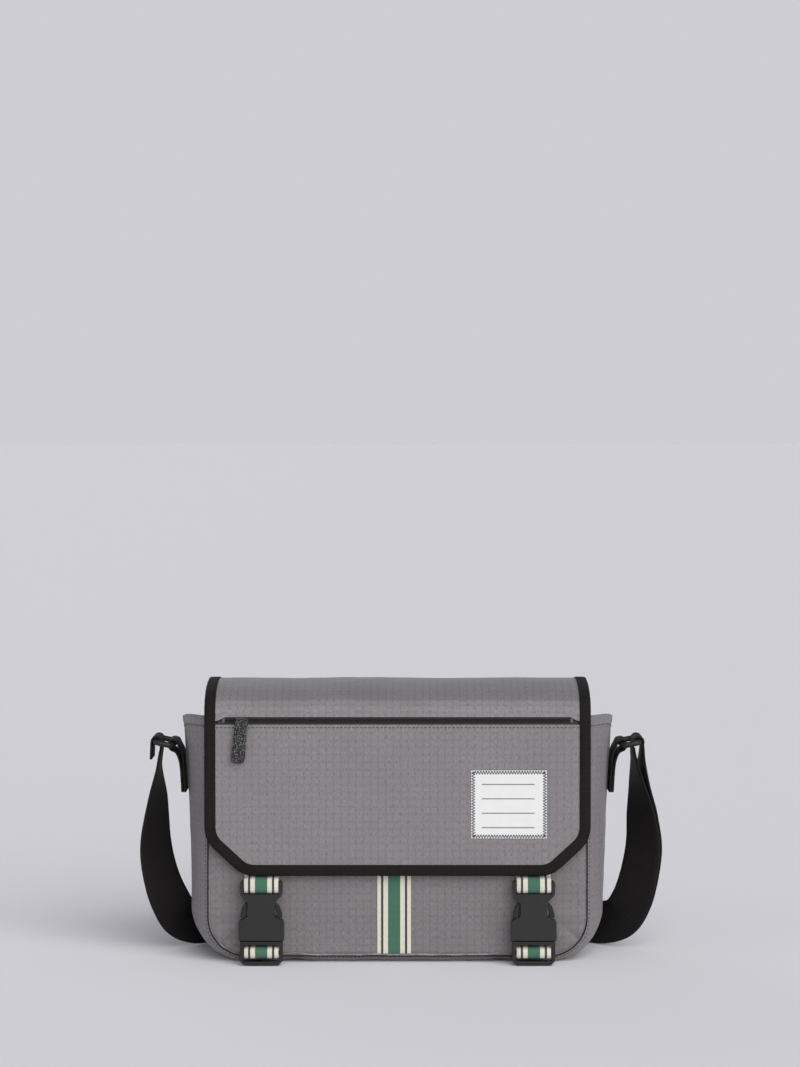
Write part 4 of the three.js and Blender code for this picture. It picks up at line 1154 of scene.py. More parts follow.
LEFT_RUN = [
    ((-RING_OUTER[0] - WRAP - 0.6, 0, RING_OUTER[1] - 13), (0, 1, 0)),
    ((-RING_OUTER[0] - WRAP - 0.3, 0, RING_OUTER[1] - 5), (0, 1, 0)), *over_bar(-1),
    ((-RING_OUTER[0] + 2.6, 0, RING_OUTER[1] - 8), (0, 1, 0)), ((-177.2, 0, 140), (0.02, 1, 0)),
    ((-178.4, 0.6, 116), (0.36, 0.93, 0)), ((-180.2, 4, 80), (0.66, 0.74, 0.05)),
    ((-176.5, 8, 56), (0.72, 0.62, 0.2)), ((-170.5, 13, 38), (0.66, 0.42, 0.5)),
    ((-163, 22, 24), (0.4, 0.12, 0.85)), ((-152, 36, LOW_Z + 1), (0.05, 0, 1)),
    ((-133, 54, LOW_Z + 0.4), (0, 0, 1)), ((-107, 63, LOW_Z + 2), (0, 0, 1)),
    ((-80, STRAP_Y, RAISED), (0, 0, 1)), ((-62, STRAP_Y, RAISED), (0, 0, 1)),
    ((JOINT_X - 0.15, STRAP_Y, RAISED), (0, 0, 1)),
]
RIGHT_RUN = [
    ((JOINT_X + 0.15, STRAP_Y, RAISED), (0, 0, 1)), ((-10, STRAP_Y, RAISED), (0, 0, 1)),
    ((39.5, STRAP_Y, RAISED), (0, 0, 1)), ((62, STRAP_Y, RAISED), (0, 0, 1)),
    ((84, STRAP_Y, RAISED - 1.4), (0, 0, 1)), ((112, 64.4, LOW_Z + 1.2), (0, 0, 1)),
    ((138, 56, LOW_Z + 0.4), (0, 0, 1)), ((157, 38, LOW_Z + 1), (-0.05, 0, 1)),
    ((168.5, 23, 24), (-0.4, 0.12, 0.85)), ((176, 14, 38), (-0.66, 0.4, 0.5)),
    ((181, 9, 56), (-0.74, 0.56, 0.16)), ((184.4, 5, 80), (-0.74, 0.67, 0.04)),
    ((183, 2, 104), (-0.6, 0.8, 0)), ((181.6, 0.5, 126), (-0.3, 0.95, 0)),
    ((RING_OUTER[0] + WRAP - 0.2, 0, RING_OUTER[1] - 14), (-0.06, 1, 0)),
    ((RING_OUTER[0] + WRAP, 0, RING_OUTER[1] - 5), (0, 1, 0)), *over_bar(1),
    ((RING_OUTER[0] - WRAP, 0, RING_OUTER[1] - 3), (0, 1, 0)),
]
INNER_FROM, INNER_PARTS, INNER_TO = 2, 12, 15


def swept(stations, first, last, shift=lambda at: 0.0, spacing=2.0):
    """Centres and widths of a strap between two of its stations."""
    places = [s[0] for s in stations]
    ways = [s[1] for s in stations]
    centres, wides = [], []
    for k in range(first, last + 1):
        reach = np.linalg.norm(np.subtract(places[k + 1], places[k])) if k < last else 0
        parts = max(1, round(reach / spacing))
        for i in range(parts if k < last else 1):
            at = k + i / parts
            middle = rope_point(places, at)
            ahead = rope_point(places, min(at + 0.01, len(places) - 1))
            along = ahead - rope_point(places, max(at - 0.01, 0))
            along /= np.linalg.norm(along)
            wide = rope_point(ways, at)
            wide -= along * wide.dot(along)
            wide /= np.linalg.norm(wide)
            centres.append(middle + np.cross(along, wide) * shift(at))
            wides.append(wide)
    return centres, wides


def inner_shift(at):
    return mix(2.4, 2 * WRAP, smooth(at, INNER_PARTS, INNER_TO))


def strap_piece(name, stations, first, last, **more):
    centres, wides = swept(stations, first, last, **more)
    obj = ribbon(name, centres, wides, STRAP_WIDTH, STRAP_THICK, "webbing", across=12)
    return obj, [tuple(c * MM) for c in centres]


# two points under each ring, in metres
LEFT_BEND = (-0.1785, 0.0, 0.139), (-0.1785, 0.0, 0.151)
RIGHT_BEND = (0.1785, 0.0, 0.139), (0.1785, 0.0, 0.151)


# ---- webbing, tabs and buckles ----
UPPER_TURN = [
    (7.7, 6.25), (6.8, 3.65), (3.6, 3.05), (-0.4, 3.15), (-2.9, 2.45), (-3.5, -0.6), (-3.3, -4.4),
    (-1.3, -6.5), (1.3, -6.3), (2.9, -3.9), (4.3, -1.4), (7.4, 0.75), (9.7, 4.55),
]
SOCKET_BAR = (BUCKLE_Y, 60.1)
CLIP_BAR = (BUCKLE_Y, 9.5)
UPPER_LOOP = [
    (-49.4, 84), (-49.4, 69), *((SOCKET_BAR[0] + y, SOCKET_BAR[1] + z) for y, z in UPPER_TURN), (-47.2, 69),
    (-47.2, 84),
]
LOWER_TURN = [
    (8, 3.75), (3.8, 3.85), (0, 3.35), (-2.9, 2.35), (-3.7, -0.15), (-2.6, -2.75), (0, -3.45), (3.4, -2.05),
    (6.4, -0.25), (8.6, -0.75),
]
LOWER_LOOP = [
    (-46.1, 7.4), (-46.4, 10.75), *((CLIP_BAR[0] + y, CLIP_BAR[1] + z) for y, z in LOWER_TURN),
    (-47.95, 6.35), (-47.95, 4.6),
]


def tab_line():
    x, z = RING_INNER
    lay = 1.2
    wrap = RING_WIRE / 2 + 0.3 + 0.8 + 0.2

    def on(height, layers):
        return HALF_WIDTH + side_bulge(height) + lay + layers * 1.9, height

    return [
        on(121.6, 0), on(132, 0), on(142, 0), on(150, 0), (x - wrap - 0.4, z + 0.6),
        (x - 2.4, z + wrap - 0.6), (x + 1.4, z + wrap),
        (x + wrap, z + 0.4), (x + 1.6, z - wrap + 0.2), (x - 2.4, z - wrap - 2.2), on(145, 1.35),
        on(138, 1.05), on(130, 1), on(121.6, 1),
    ]


def ring_tab(name, side):
    path = evenly(curve_line(tab_line(), 0, 13, 520), RIBBON_STEP)
    centres = [(side * x, 0, z) for x, z in path]
    tape = ribbon(name, centres, [(0, -side, 0)] * len(centres), 30, 1.6, "tab", across=10)
    outer = path[-int(14 / RIBBON_STEP):-3]
    rows = []
    for k, y in enumerate((-12.6, -0.0, 12.6)):
        points = [(side * (x + 0.82), y, z) for x, z in outer]
        rows.append(stitches(f"{name}_row_{k}", points, (side, 0, 0), pitch=2.4, length=1.9, width=0.5))
    return joined(name, [tape, *rows])


def ring_wire(name, side):
    """A ring: round wire in a long loop with round corners."""
    inner, outer = np.array(RING_INNER), np.array(RING_OUTER)
    long = np.linalg.norm(outer - inner)
    across = (outer - inner) / long
    half, corner = STRAP_WIDTH / 2 + 2 + RING_WIRE / 2, 3.0
    path = []
    for u, y, to_u, to_y, first in (
        (0, -half, 1, 1, math.pi), (long, -half, -1, 1, 1.5 * math.pi), (long, half, -1, -1, 0),
        (0, half, 1, -1, 0.5 * math.pi)
    ):
        for i in range(9):
            a = first + i / 8 * math.pi / 2
            at = u + corner * (to_u + math.cos(a))
            path.append((
                side * (inner[0] + across[0] * at), y + corner * (to_y + math.sin(a)),
                inner[1] + across[1] * at
            ))
    p = np.array(path)
    dense = evenly(np.vstack([p, p[:1]]), 1.2)[:-1]
    normal = np.array([side * -across[1], 0, across[0]])
    loops = []
    count = len(dense)
    for i in range(count):
        along = dense[(i + 1) % count] - dense[i - 1]
        along /= np.linalg.norm(along)
        third = np.cross(along, normal)
        loops.append([
            dense[i] + (normal * math.cos(a) + third * math.sin(a)) * RING_WIRE / 2
            for a in np.linspace(0, 2 * math.pi, 17)[:-1]
        ])
    g = np.array(loops)
    faces = []
    for i in range(count):
        for j in range(16):
            k, l = (i + 1) % count, (j + 1) % 16
            faces.append((i * 16 + j, k * 16 + j, k * 16 + l, i * 16 + l))
    return face_outwards(mesh_object(name, g.reshape(-1, 3), faces, finish("plastic")))


# ---- the zip's teeth ----
def teeth_tree():
    """A row of teeth along X: how many, how far apart and how big are inputs."""
    tree, node = new_tree("zip_teeth", {
        "Count": "Int", "Pitch": "Float", "Start": "Vector", "Tooth Size": "Vector", "Tooth Material": "Material",
    })
    given = node("NodeGroupInput").outputs
    step = node("ShaderNodeCombineXYZ", {0: given["Pitch"]}).outputs[0]
    row = node(
        "GeometryNodeMeshLine", {"Count": given["Count"], "Start Location": given["Start"], "Offset": step}
    ).outputs[0]
    bead = node("GeometryNodeMeshUVSphere", {"Segments": 6, "Rings": 4, "Radius": 0.5}).outputs[0]
    placed = node(
        "GeometryNodeInstanceOnPoints", {"Points": row, "Instance": bead, "Scale": given["Tooth Size"]}
    ).outputs[0]
    plain = node("GeometryNodeRealizeInstances", {0: placed}).outputs[0]
    coated = node("GeometryNodeSetMaterial", {0: plain, "Material": given["Tooth Material"]}).outputs[0]
    node("NodeGroupOutput", {0: coated})
    return tree


def teeth(name, count, pitch, start, size):
    obj = new_object(name, bpy.data.meshes.new(name))
    return grown(obj, bpy.data.node_groups.get("zip_teeth") or teeth_tree(), {
        "Count": count,
        "Pitch": pitch * MM,
        "Start": [c * MM for c in start],
        "Tooth Size": [c * MM for c in size],
        "Tooth Material": finish("plastic"),
    })


def slab(name, x0, x1, y0, y1, z0, z1, material, bevel=0.3):
    """A flat strip of tape or board with rounded edges, cut fine enough to follow its neighbours."""
    count = max(2, int((x1 - x0) / 6))
    loops, marks = [], []
    for i in range(count + 1):
        x = mix(x0, x1, i / count)
        loops.append([
            (x, y0, z0), (x, y0, (z0 + z1) / 2), (x, y0, z1), (x, y1, z1), (x, y1, (z0 + z1) / 2), (x, y1, z0)
        ])
        marks.append([(x, z0), (x, (z0 + z1) / 2), (x, z1), (x, z1), (x, (z0 + z1) / 2), (x, z0)])
    obj = tube(name, loops, finish(material), marks)
    round_edges(obj, min(bevel, abs(y1 - y0) * 0.4), 2)
    return settle(obj)


def leather_front(name):
    """The pull's front layer, folded up over the loop and the slider, thinner in front of the bridge."""
    half, top, bottom, corner, lean = 4.7, 2.6, -30.4, 1.7, math.radians(6)
    bend = [corner * (1 - math.cos(math.radians(a))) for a in range(12, 90, 13)]
    rows = (
        [top - d for d in bend] + list(np.linspace(top - corner, bottom + corner, 70))
        + [bottom + d for d in reversed(bend)]
    )
    loops = []
    for u in rows:
        short = max(0.0, corner - min(top - u, u - bottom))
        wide = half - corner + math.sqrt(corner * corner - short * short)
        thick = mix(0.8, 1.3, smooth(-u, 3.6, 5.2))
        loops.append([
            (
                PULL_X + w * math.cos(lean) + u * math.sin(lean), -60 + thick / 2 + n,
                ZIP_Z - w * math.sin(lean) + u * math.cos(lean)
            )
            for w, n in section(2 * wide, thick, 10)
        ])
    return tube(name, loops, finish("leather"))


# ---- what a user may change ----
def colour_property(name, text, value):
    return bpy.props.FloatVectorProperty(
        name=name, description=text, default=(*value, 1.0), size=4, subtype="COLOR", min=0.0, max=1.0
    )


def length_property(name, text, value, **limits):
    return bpy.props.FloatProperty(
        name=name, description=text, default=value, unit="LENGTH", precision=5, **limits
    )


class BagShape(bpy.types.PropertyGroup):
    """How soft the cloth is and how it is sewn."""

    puff: length_property("Puff", "How far the front cloth stands out between its seams", 0.0019, min=0.0)
    pucker: length_property("Pucker", "How far the seams draw the cloth up", 0.0011, min=0.0)
    stitch_pitch: length_property("Stitch pitch", "Distance from one stitch to the next", 0.0029, min=0.001)
    stitch_length: length_property("Stitch length", "Length of one visible stitch", 0.0023, min=0.0005)
    thread_width: length_property("Thread width", "Width of the sewing thread", 0.00055, min=0.0001)
    label_turn: bpy.props.FloatProperty(
        name="Zigzag turn", description="Slant of the label's zigzag stitches", default=math.radians(70),
        subtype="ANGLE"
    )


class BagColours(bpy.types.PropertyGroup):
    """Colours of the bag's cloths, tapes and fittings."""

    cloth: colour_property("Cloth", "Ripstop of the body and the flap", (0.176, 0.163, 0.167))
    lining: colour_property("Lining", "Lining cloth", (0.035, 0.036, 0.046))
    binding: colour_property("Binding", "Ribbed tape round the flap", (0.0048, 0.004, 0.0032))
    webbing: colour_property("Webbing", "Shoulder strap and ring tabs", (0.0075, 0.0062, 0.0066))
    stripe_ground: colour_property("Stripe ground", "Ground of the striped tapes", (0.66, 0.62, 0.52))
    stripe_band: colour_property(
        "Stripe band", "Band down the middle of the striped tapes", (0.03, 0.13, 0.075)
    )
    stripe_line: colour_property(
        "Stripe line", "Thin lines at the edges of the striped tapes", (0.03, 0.03, 0.034)
    )
    label: colour_property("Label", "Blank label", (0.66, 0.66, 0.65))
    thread: colour_property("Thread", "Sewing thread", (0.0042, 0.0042, 0.005))
    plastic: colour_property("Plastic", "Sockets, rings and adjuster", (0.0092, 0.0088, 0.009))
    leather: colour_property("Leather", "Zip pull", (0.011, 0.0105, 0.0105))
    metal: colour_property("Metal", "Slider and loop of the zip", (0.08, 0.08, 0.085))
    paper: colour_property("Floor", "Floor and backdrop", (0.797, 0.792, 0.816))


class BagStudio(bpy.types.PropertyGroup):
    """Camera and lights."""

    lens: bpy.props.FloatProperty(
        name="Lens", description="Focal length in millimetres", default=109.25, min=10.0
    )
    distance: length_property("Distance", "Camera's distance in front of the middle", 2.4, min=0.5)
    height: length_property("Height", "Camera's height", 0.394, min=0.0)
    side: length_property("Side", "Camera's place to the right of the middle", 0.0018)
    tilt: bpy.props.FloatProperty(
        name="Tilt", description="How far the camera looks down", default=math.radians(1.946), subtype="ANGLE"
    )
    key_power: bpy.props.FloatProperty(
        name="Key light", description="Strength of the broad light above", default=3.1, min=0.0
    )
    back_power: bpy.props.FloatProperty(
        name="Back light", description="Strength of the low light behind", default=0.35, min=0.0
    )
    fill_power: bpy.props.FloatProperty(
        name="Fill light", description="Strength of the broad light in front", default=0.25, min=0.0
    )


class BagPiece:
    """What the operators share."""

    bl_options = {"REGISTER"}

    def sewing(self, context, **more):
        shape = context.scene.bag_shape
        sizes = {
            "pitch": shape.stitch_pitch / MM, "length": shape.stitch_length / MM,
            "width": shape.thread_width / MM
        }
        return {**sizes, **more}


class BAG_OT_strap(BagPiece, bpy.types.Operator):
    """Shoulder strap: both runs, the inner layer and the sewn loop on the adjuster"""

    bl_idname = "bag.strap"
    bl_label = "Shoulder strap"

    def execute(self, context):
        left, left_path = strap_piece("strap_left", LEFT_RUN, 0, len(LEFT_RUN) - 1)
        place_across(left, ("bag", "left_ring"), *LEFT_BEND, "webbing", ["strap_left_run"])
        right, right_path = strap_piece("strap_right", RIGHT_RUN, 0, len(RIGHT_RUN) - 1)
        place_across(right, ("bag", "right_ring"), *RIGHT_BEND, "webbing", ["strap_right_run"])
        inner, inner_path = strap_piece("strap_inner", RIGHT_RUN, INNER_FROM, INNER_TO, shift=inner_shift)
        place_across(inner, ("bag", "right_ring"), *RIGHT_BEND, "webbing", ["strap_inner_leg"])
        back_line = [(x, INNER_Y, RAISED) for x in np.linspace(-16.7, 39.2, 40)]
        back = ribbon(
            "strap_inner_flat", back_line, [(0, 0, 1)] * 40, STRAP_WIDTH, STRAP_THICK, "webbing", across=12
        )
        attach(back, "bag")
        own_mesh(back)
        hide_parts("strap_inner_back")
        loop = place(sewn_loop(), "strap_adjuster", "webbing", ["strap_loop_end"])
        adjuster = place(adjuster_frame(), "strap_adjuster", "buckle_plastic", ["strap_adjuster"])
        return {"FINISHED"}


def sewn_loop():
    """The strap's sewn end round the adjuster's middle bar."""
    x0, y0, radius, tail, layer = JOINT_X, INNER_Y, 3.1, 28.0, 2.4
    centre = y0 - radius
    line = [(x0 + tail, y0), (x0 + 10, y0), (x0 + 2, y0 - 0.05)]
    for i in range(1, 8):
        a = math.pi / 2 + i / 8 * math.pi
        line.append((x0 + radius * math.cos(a), centre + radius * math.sin(a)))
    line += [
        (x0 + 3, centre - radius), (x0 + 11, y0 - layer - 1.2), (x0 + 18, y0 - layer),
        (x0 + tail - 1, y0 - layer)
    ]
    path = evenly(curve_line(line, 0, len(line) - 1, 600), RIBBON_STEP)
    centres = [(x, y, RAISED) for x, y in path]
    tape = ribbon(
        "loop_tape", centres, [(0, 0, 1)] * len(centres), STRAP_WIDTH, STRAP_THICK, "webbing", across=12
    )
    rows = []
    for k, x in enumerate((x0 + 15, x0 + 25)):
        points = [(x, y0 - layer - 0.85, z) for z in np.linspace(RAISED - 14, RAISED + 14, 12)]
        rows.append(stitches(f"loop_row_{k}", points, (0, -1, 0), pitch=2.2, length=1.8, width=0.5))
    return joined("strap_loop", [tape, *rows])


def adjuster_frame():
    return moulded("strap_adjuster", "adjuster_frame", "plastic", bevel=0.7, segments=3)


class BAG_OT_body(BagPiece, bpy.types.Operator):
    """Body: front and back cloths, gusset band, lining, base board and their seams"""

    bl_idname = "bag.body"
    bl_label = "Body cloths"

    def execute(self, context):
        # The front cloth takes the darker ripstop: painted shade under the flap.
        front = panel("front_cloth", FRONT_TOP, front_y, 1, finish("shaded_ripstop"))
        place(front, "bag", "ripstop", ["front_panel"])
        back = panel("back_cloth", BACK_TOP, back_y, -1, finish("ripstop"))
        place(back, "bag", "ripstop", ["back_panel"])
        band = place(gusset_band(), "bag", "ripstop", ["left_gusset", "right_gusset", "base_panel"])
        place(lining_cup(), "bag", "lining", ["lining"])
        board = slab("board_sheet", -103, 103, -33, 33, 1.9, 3.7, "board")
        place(board, "bag", "board", ["base_board"])
        for name, side in (("front_seam", -1), ("back_seam", 1)):
            points, ups = [], []
            for run in np.arange(8.0, SEAM_RUN - 8.0, 2.0):
                here, _, _, out_x, out_z, _ = seam_at(run)
                points.append(band_point(run, side * 0.955, -0.06))
                ups.append((here * out_x * 0.7, side * 0.7, out_z * 0.7))
            row = stitches(name, points, ups, **self.sewing(context, length=1.7))
            # A dark cord in the seam's groove: the seam's thread and its painted shadow.
            cord = seam_thread_and_shadow(f"{name}_cord", side)
            place(joined(f"{name}_line", [cord, row]), "bag", "binding")
        for name, start in (("left_hem", 0.0), ("right_hem", SEAM_RUN)):
            points, ups = [], []
            for t in np.linspace(-0.93, 0.93, 70):
                run = abs(start - 7.4)
                points.append(band_point(run, t, -0.05))
                ups.append((-1 if start == 0 else 1, 0, 0))
            place(stitches(name, points, ups, **self.sewing(context)), "bag", "binding")
        seam_z, hem_z, lift = 184.2, 170.5, 0.05
        top = [(x, back_y(x, seam_z) + lift, seam_z) for x in np.linspace(-130, 130, 90)]
        place(stitches("top_seam", top, (0, 1, 0), **self.sewing(context)), "bag", "binding")
        hem = [(x, front_y(x, hem_z) - lift, hem_z) for x in np.linspace(-134, 134, 90)]
        place(stitches("mouth_hem", hem, (0, -1, 0), **self.sewing(context)), "bag", "binding")
        return {"FINISHED"}


class BAG_OT_stripe(BagPiece, bpy.types.Operator):
    """Centre stripe, sewn down the front cloth"""

    bl_idname = "bag.stripe"
    bl_label = "Centre stripe"

    def execute(self, context):
        tape = patch(
            "centre_tape", -14.75, 9.75, 6.9, 150, front_y, 0.75, 0.5, "stripe", columns=14, rows=110
        )
        turn = tape.data.uv_layers["cloth"].data
        for loop in turn:
            across, along = loop.uv
            loop.uv = (along, across + 2.5 * MM)
        place(tape, "bag", "stripe_tape", ["centre_stripe"])
        return {"FINISHED"}


class BAG_OT_flap_top(BagPiece, bpy.types.Operator):
    """The flap over the mouth: back cloth, fold cloth, their linings and bindings"""

    bl_idname = "bag.flap_top"
    bl_label = "Flap over the mouth"

    def execute(self, context):
        hinge = ("bag", "flap_top"), (0.0, HINGE[0] * MM, 0.1882), (0.0, HINGE[0] * MM, 0.1932)
        fold = ("flap_top", "flap_front"), (0.0, -0.0400, 0.1985), (0.0, -0.0535, 0.1825)
        back = line_sheet("flap_back_cloth", 0, MIDDLE_AT, 132.8, 0.0, 1.2, "ripstop", rows=70)
        place_across(back, *hinge, "ripstop", ["flap_top_panel"])
        front = line_sheet(
            "flap_fold_cloth", MIDDLE_AT, WELT_AT, 132.8, 0.0, 1.2, "ripstop", rows=90, taper=True
        )
        place_across(front, *fold, "ripstop", ["flap_welt"])
        under = line_sheet(
            "flap_back_lining", 0, MIDDLE_AT, 133.5, 3.1, 0.6, "lining", rows=50, columns=60, relief=False
        )
        place_across(under, *hinge, "lining", ["flap_top_lining"])
        under = line_sheet(
            "flap_fold_lining", MIDDLE_AT, LINE_END, 133.5, 3.1, 0.6, "lining", rows=60, columns=60,
            relief=False
        )
        place_across(under, *fold, "lining")
        size = self.sewing(context)
        replaced = {-1: "left_top_binding", 1: "right_top_binding"}
        for side, word in ((-1, "left"), (1, "right")):
            tape = line_binding(f"{word}_back_tape", 0, MIDDLE_AT, side, 60)
            rows = flap_stitches(f"{word}_back_row", 0.1, MIDDLE_AT, [side * 134.0], -0.62, **size)
            place_across(joined(f"{word}_back_binding", [tape, *rows]), *hinge, "binding", [replaced[side]])
            tape = line_binding(f"{word}_fold_tape", MIDDLE_AT, LINE_END, side, 90)
            rows = flap_stitches(f"{word}_fold_row", MIDDLE_AT, LINE_END, [side * 134.0], -0.62, **size)
            place_across(joined(f"{word}_fold_binding", [tape, *rows]), *fold, "binding")
        return {"FINISHED"}


class BAG_OT_flap_front(BagPiece, bpy.types.Operator):
    """The flap's front: cloth, lining with its pocket, binding and stitches"""

    bl_idname = "bag.flap_front"
    bl_label = "Flap front"

    def execute(self, context):
        front = flap_front_sheet("flap_front_cloth", 175.4, 7.4, flap_y, 1.2, "ripstop")
        place(front, "flap_front", "ripstop", ["flap_front_panel"])
        back = flap_front_sheet("flap_front_back", 178.0, 7.4, lambda x, z: -51.3, 0.6, "lining", side=-1)
        place(back, "flap_front", "lining", ["flap_front_lining", "zip_pocket_bag"])
        place(front_binding(), "flap_front", "binding", ["front_binding"])
        size = self.sewing(context)
        for name, y in (("binding_row_front", -55.66), ("binding_row_back", -50.86)):
            row = stitches(name, binding_stitch_line(6.5, y), (0, -1 if y < -53 else 1, 0), **size)
            place(row, "flap_front", "binding")
        welt_z, lift = 173.2, 0.05
        points = [(x, flap_y(x, welt_z) - lift, welt_z) for x in np.linspace(-131, 131, 150)]
        place(stitches("welt_row", points, (0, -1, 0), **size), "flap_front", "binding")
        return {"FINISHED"}


class BAG_OT_label(BagPiece, bpy.types.Operator):
    """Blank label with its zigzag edge"""

    bl_idname = "bag.label"
    bl_label = "Label"

    def execute(self, context):
        x, z, half, tall = 81.0, 117.4, 27.5, 24.75
        box = x - half, x + half, z - tall, z + tall
        cloth = patch("label_cloth", *box, flap_y, 0.62, 0.5, "label", (x, z))
        place(cloth, "flap_front", "label", ["label_patch"])
        edge = 1.5
        corners = [
            (x - half + edge, z - tall + edge), (x + half - edge, z - tall + edge),
            (x + half - edge, z + tall - edge), (x - half + edge, z + tall - edge),
        ]
        for k in range(4):
            a, b = np.array(corners[k]), np.array(corners[(k + 1) % 4])
            points = []
            for s in np.linspace(0, 1, 40):
                px, pz = a + (b - a) * s
                points.append((px, flap_y(px, pz) - 0.72, pz))
            turn = math.degrees(context.scene.bag_shape.label_turn)
            row = stitches(
                f"label_zigzag_{k}", points, (0, -1, 0), pitch=1.0, length=3.4, width=0.58, turn=turn
            )
            place(row, "flap_front", "label")
        return {"FINISHED"}


class BAG_OT_zip(BagPiece, bpy.types.Operator):
    """Zip: tapes, teeth, stops, slider and pull"""

    bl_idname = "bag.zip"
    bl_label = "Zip"

    def execute(self, context):
        tape = -131, 131, -53.5, -52.9
        lower = slab("lower_tape", *tape, ZIP_Z - 8.15, ZIP_Z - 0.15, "zip_tape", 0.15)
        place(lower, "flap_front", "lining", ["zip_lower_tape"])
        upper = slab("upper_tape", *tape, ZIP_Z + 0.15, ZIP_Z + 2.05, "zip_tape", 0.15)
        place(upper, "flap_front", "lining", ["zip_upper_tape"])
        for word, side in (("lower", -1), ("upper", 1)):
            row = teeth(
                f"{word}_teeth", 208, 1.2, (-124.4 + (0.6 if side > 0 else 0), -54.2, ZIP_Z + side * 0.85),
                (0.85, 0.75, 1.7)
            )
            place(row, "flap_front", "buckle_plastic", [f"zip_{word}_coil"])
        for word in ("left", "right"):
            stop = moulded(f"zip_{word}_stop", f"{word}_stop", "metal", 0.2)
            place(stop, "flap_front", "zip_metal", [f"zip_{word}_stop"])
        place(moulded("zip_slider", "slider", "metal", 0.18), "zip_slider", "zip_metal", ["zip_slider"])
        place(moulded("pull_loop", "pull_wire", "metal", 0.3, 3), "zip_pull", "zip_metal", ["pull_loop"])
        place(moulded("pull_tab", "pull_back", "leather", 0.55, 3), "zip_pull", "pull_leather", ["pull_tab"])
        bend = ("zip_slider", "zip_pull"), (-0.113, -0.0575, 0.1790), (-0.113, -0.0575, 0.1722)
        place_across(leather_front("pull_front"), *bend, "pull_leather")
        return {"FINISHED"}


class BAG_OT_webbing(BagPiece, bpy.types.Operator):
    """Striped webbing loops that hold the buckles"""

    bl_idname = "bag.webbing"
    bl_label = "Buckle webbing"

    def execute(self, context):
        for word, x in (("left", -BUCKLE_X), ("right", BUCKLE_X)):
            upper = flat_ribbon(f"{word}_upper_loop", UPPER_LOOP, x, 25, 1.5, "stripe")
            rows = []
            for k, z in enumerate((70.5, 81.0)):
                points = [(x + u, -46.4, z) for u in np.linspace(-10.5, 10.5, 12)]
                rows.append(stitches(f"{word}_bar_{k}", points, (0, 1, 0), pitch=2.0, length=1.7, width=0.5))
            tape = joined(f"{word}_upper_tape", [upper, *rows])
            place(tape, "flap_front", "stripe_tape", [f"{word}_upper_webbing"])
            lower = flat_ribbon(f"{word}_lower_tape", LOWER_LOOP, x, 25, 1.5, "stripe")
            place(lower, "bag", "stripe_tape", [f"{word}_lower_webbing"])
        return {"FINISHED"}


class BAG_OT_buckles(BagPiece, bpy.types.Operator):
    """Side-release buckles: sockets, clips and latch arms"""

    bl_idname = "bag.buckles"
    bl_label = "Buckles"

    def execute(self, context):
        for word in ("left", "right"):
            socket = moulded(f"{word}_socket", f"{word}_socket_shell", "plastic", 0.6, 3)
            place(socket, f"{word}_socket", "buckle_plastic", [f"{word}_socket"])
            clip = moulded(f"{word}_clip_frame", f"{word}_clip_body", "clip_plastic", 0.6, 3)
            place(clip, f"{word}_clip", "buckle_plastic", [f"{word}_clip_frame"])
            for part in ("inner", "outer"):
                arm = moulded(f"{word}_{part}_arm", f"{word}_{part}_spring", "clip_plastic", 0.5, 2)
                place(arm, f"{word}_{part}_arm", "buckle_plastic", [f"{word}_{part}_arm"])
        return {"FINISHED"}


class BAG_OT_rings(BagPiece, bpy.types.Operator):
    """Side rings and the tabs that hold them"""

    bl_idname = "bag.rings"
    bl_label = "Rings and tabs"

    def execute(self, context):
        for word, side in (("left", -1), ("right", 1)):
            place(ring_tab(f"{word}_tab", side), "bag", "webbing", [f"{word}_ring_tab"])
            place(ring_wire(f"{word}_wire", side), f"{word}_ring", "buckle_plastic", [f"{word}_ring"])
        return {"FINISHED"}


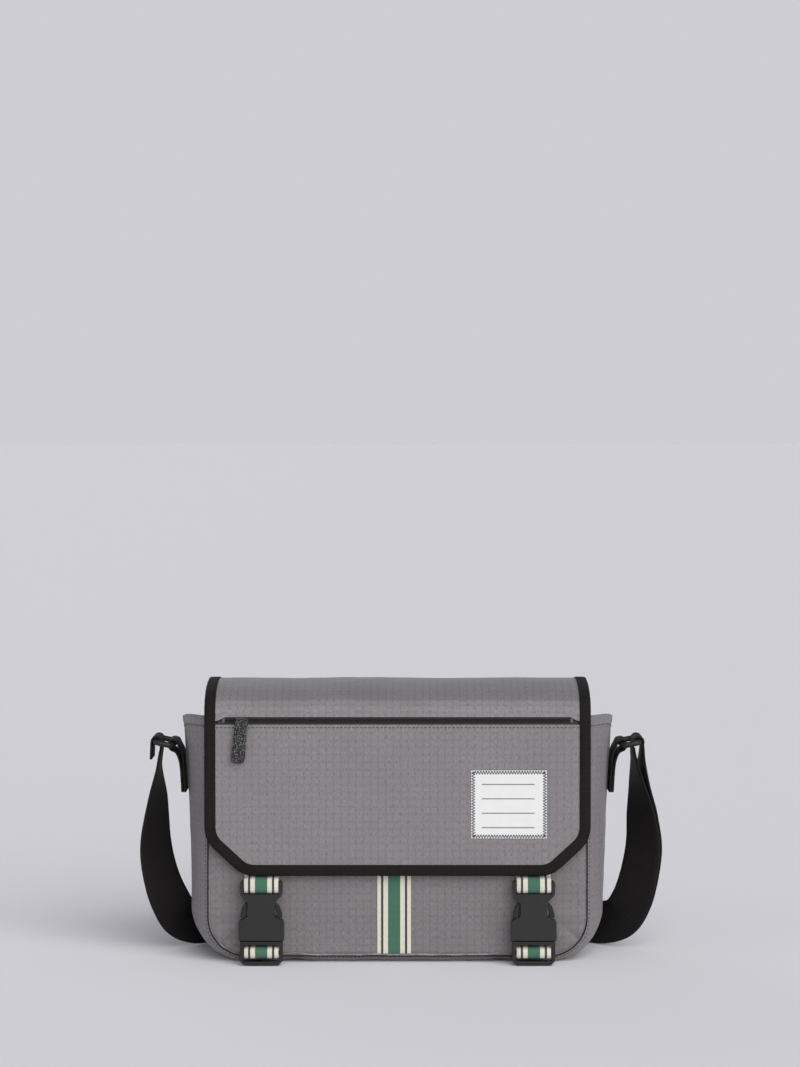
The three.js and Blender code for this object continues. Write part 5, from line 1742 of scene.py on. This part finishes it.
class BAG_OT_studio(BagPiece, bpy.types.Operator):
    """Floor and backdrop, camera and soft lights"""

    bl_idname = "bag.studio"
    bl_label = "Studio"

    def execute(self, context):
        studio = context.scene.bag_studio
        data = bpy.data.cameras.new("camera")
        data.lens = studio.lens
        data.sensor_fit = "VERTICAL"
        data.sensor_height = 36.0
        data.clip_end = 100
        camera = bpy.data.objects.new("camera", data)
        camera.location = (studio.side, -studio.distance, studio.height)
        camera.rotation_euler = (math.pi / 2 - studio.tilt, 0, 0)
        context.collection.objects.link(camera)
        context.scene.camera = camera
        context.scene.view_settings.view_transform = "Standard"
        reach, below = 60000, (0, 0, -9000)
        grid = [[(x, y, 0) for x in (-reach, reach)] for y in (reach, -reach)]
        places = [[point[:2] for point in row] for row in grid]
        floor = sheet("studio_floor", grid, places, finish("paper"), below)
        self.light(context, "key", (0.42, -1.0, 0.58), studio.key_power, 62)
        self.light(context, "fill", (-0.9, -1.0, 0.45), studio.fill_power, 60)
        self.light(context, "back", (-0.5, 1.0, 0.22), studio.back_power, 50)
        world = bpy.data.worlds.new("studio")
        world.use_nodes = True
        sky, links = world.node_tree.nodes, world.node_tree.links
        way, split = sky.new("ShaderNodeTexCoord"), sky.new("ShaderNodeSeparateXYZ")
        height, mixed = sky.new("ShaderNodeMapRange"), sky.new("ShaderNodeMix")
        height.inputs[1].default_value, height.inputs[2].default_value = 0.16, 0.62
        mixed.data_type = "RGBA"
        mixed.inputs[6].default_value = (0.624, 0.617, 0.658, 1.0)
        mixed.inputs[7].default_value = (0.2, 0.2, 0.225, 1.0)
        links.new(way.outputs["Generated"], split.inputs[0])
        links.new(split.outputs[2], height.inputs[0])
        links.new(height.outputs[0], mixed.inputs[0])
        links.new(mixed.outputs[2], sky["Background"].inputs[0])
        context.scene.world = world
        return {"FINISHED"}

    def light(self, context, name, direction, power, width):
        """A broad, even light from a direction, width being its size across in degrees."""
        data = bpy.data.lights.new(name, "SUN")
        data.angle = math.radians(width)
        data.energy = power
        light = bpy.data.objects.new(name, data)
        light.location = direction
        light.rotation_euler = (-Vector(direction)).to_track_quat("-Z", "Y").to_euler()
        context.collection.objects.link(light)


class BAG_PT_panel(bpy.types.Panel):
    """Lists the bag's pieces, sizes and colours"""

    bl_label = "Messenger bag"
    bl_space_type = "VIEW_3D"
    bl_region_type = "UI"
    bl_category = "Bag"

    def draw(self, context):
        for piece in OPERATORS:
            self.layout.operator(piece.bl_idname)
        for group in (context.scene.bag_shape, context.scene.bag_colours, context.scene.bag_studio):
            box = self.layout.box()
            for name in group.__annotations__:
                box.prop(group, name)


OPERATORS = (
    BAG_OT_studio, BAG_OT_strap, BAG_OT_body, BAG_OT_stripe, BAG_OT_flap_top, BAG_OT_flap_front,
    BAG_OT_label, BAG_OT_zip, BAG_OT_webbing, BAG_OT_buckles, BAG_OT_rings,
)
CLASSES = (BagShape, BagColours, BagStudio, *OPERATORS, BAG_PT_panel)


def register():
    for kind in CLASSES:
        bpy.utils.register_class(kind)
    bpy.types.Scene.bag_shape = bpy.props.PointerProperty(type=BagShape)
    bpy.types.Scene.bag_colours = bpy.props.PointerProperty(type=BagColours)
    bpy.types.Scene.bag_studio = bpy.props.PointerProperty(type=BagStudio)


def unregister():
    del bpy.types.Scene.bag_shape, bpy.types.Scene.bag_colours, bpy.types.Scene.bag_studio
    for kind in reversed(CLASSES):
        bpy.utils.unregister_class(kind)


def main():
    register()
    for piece in OPERATORS:
        module, name = piece.bl_idname.split(".")
        getattr(getattr(bpy.ops, module), name)()


if __name__ == "__main__":
    main()
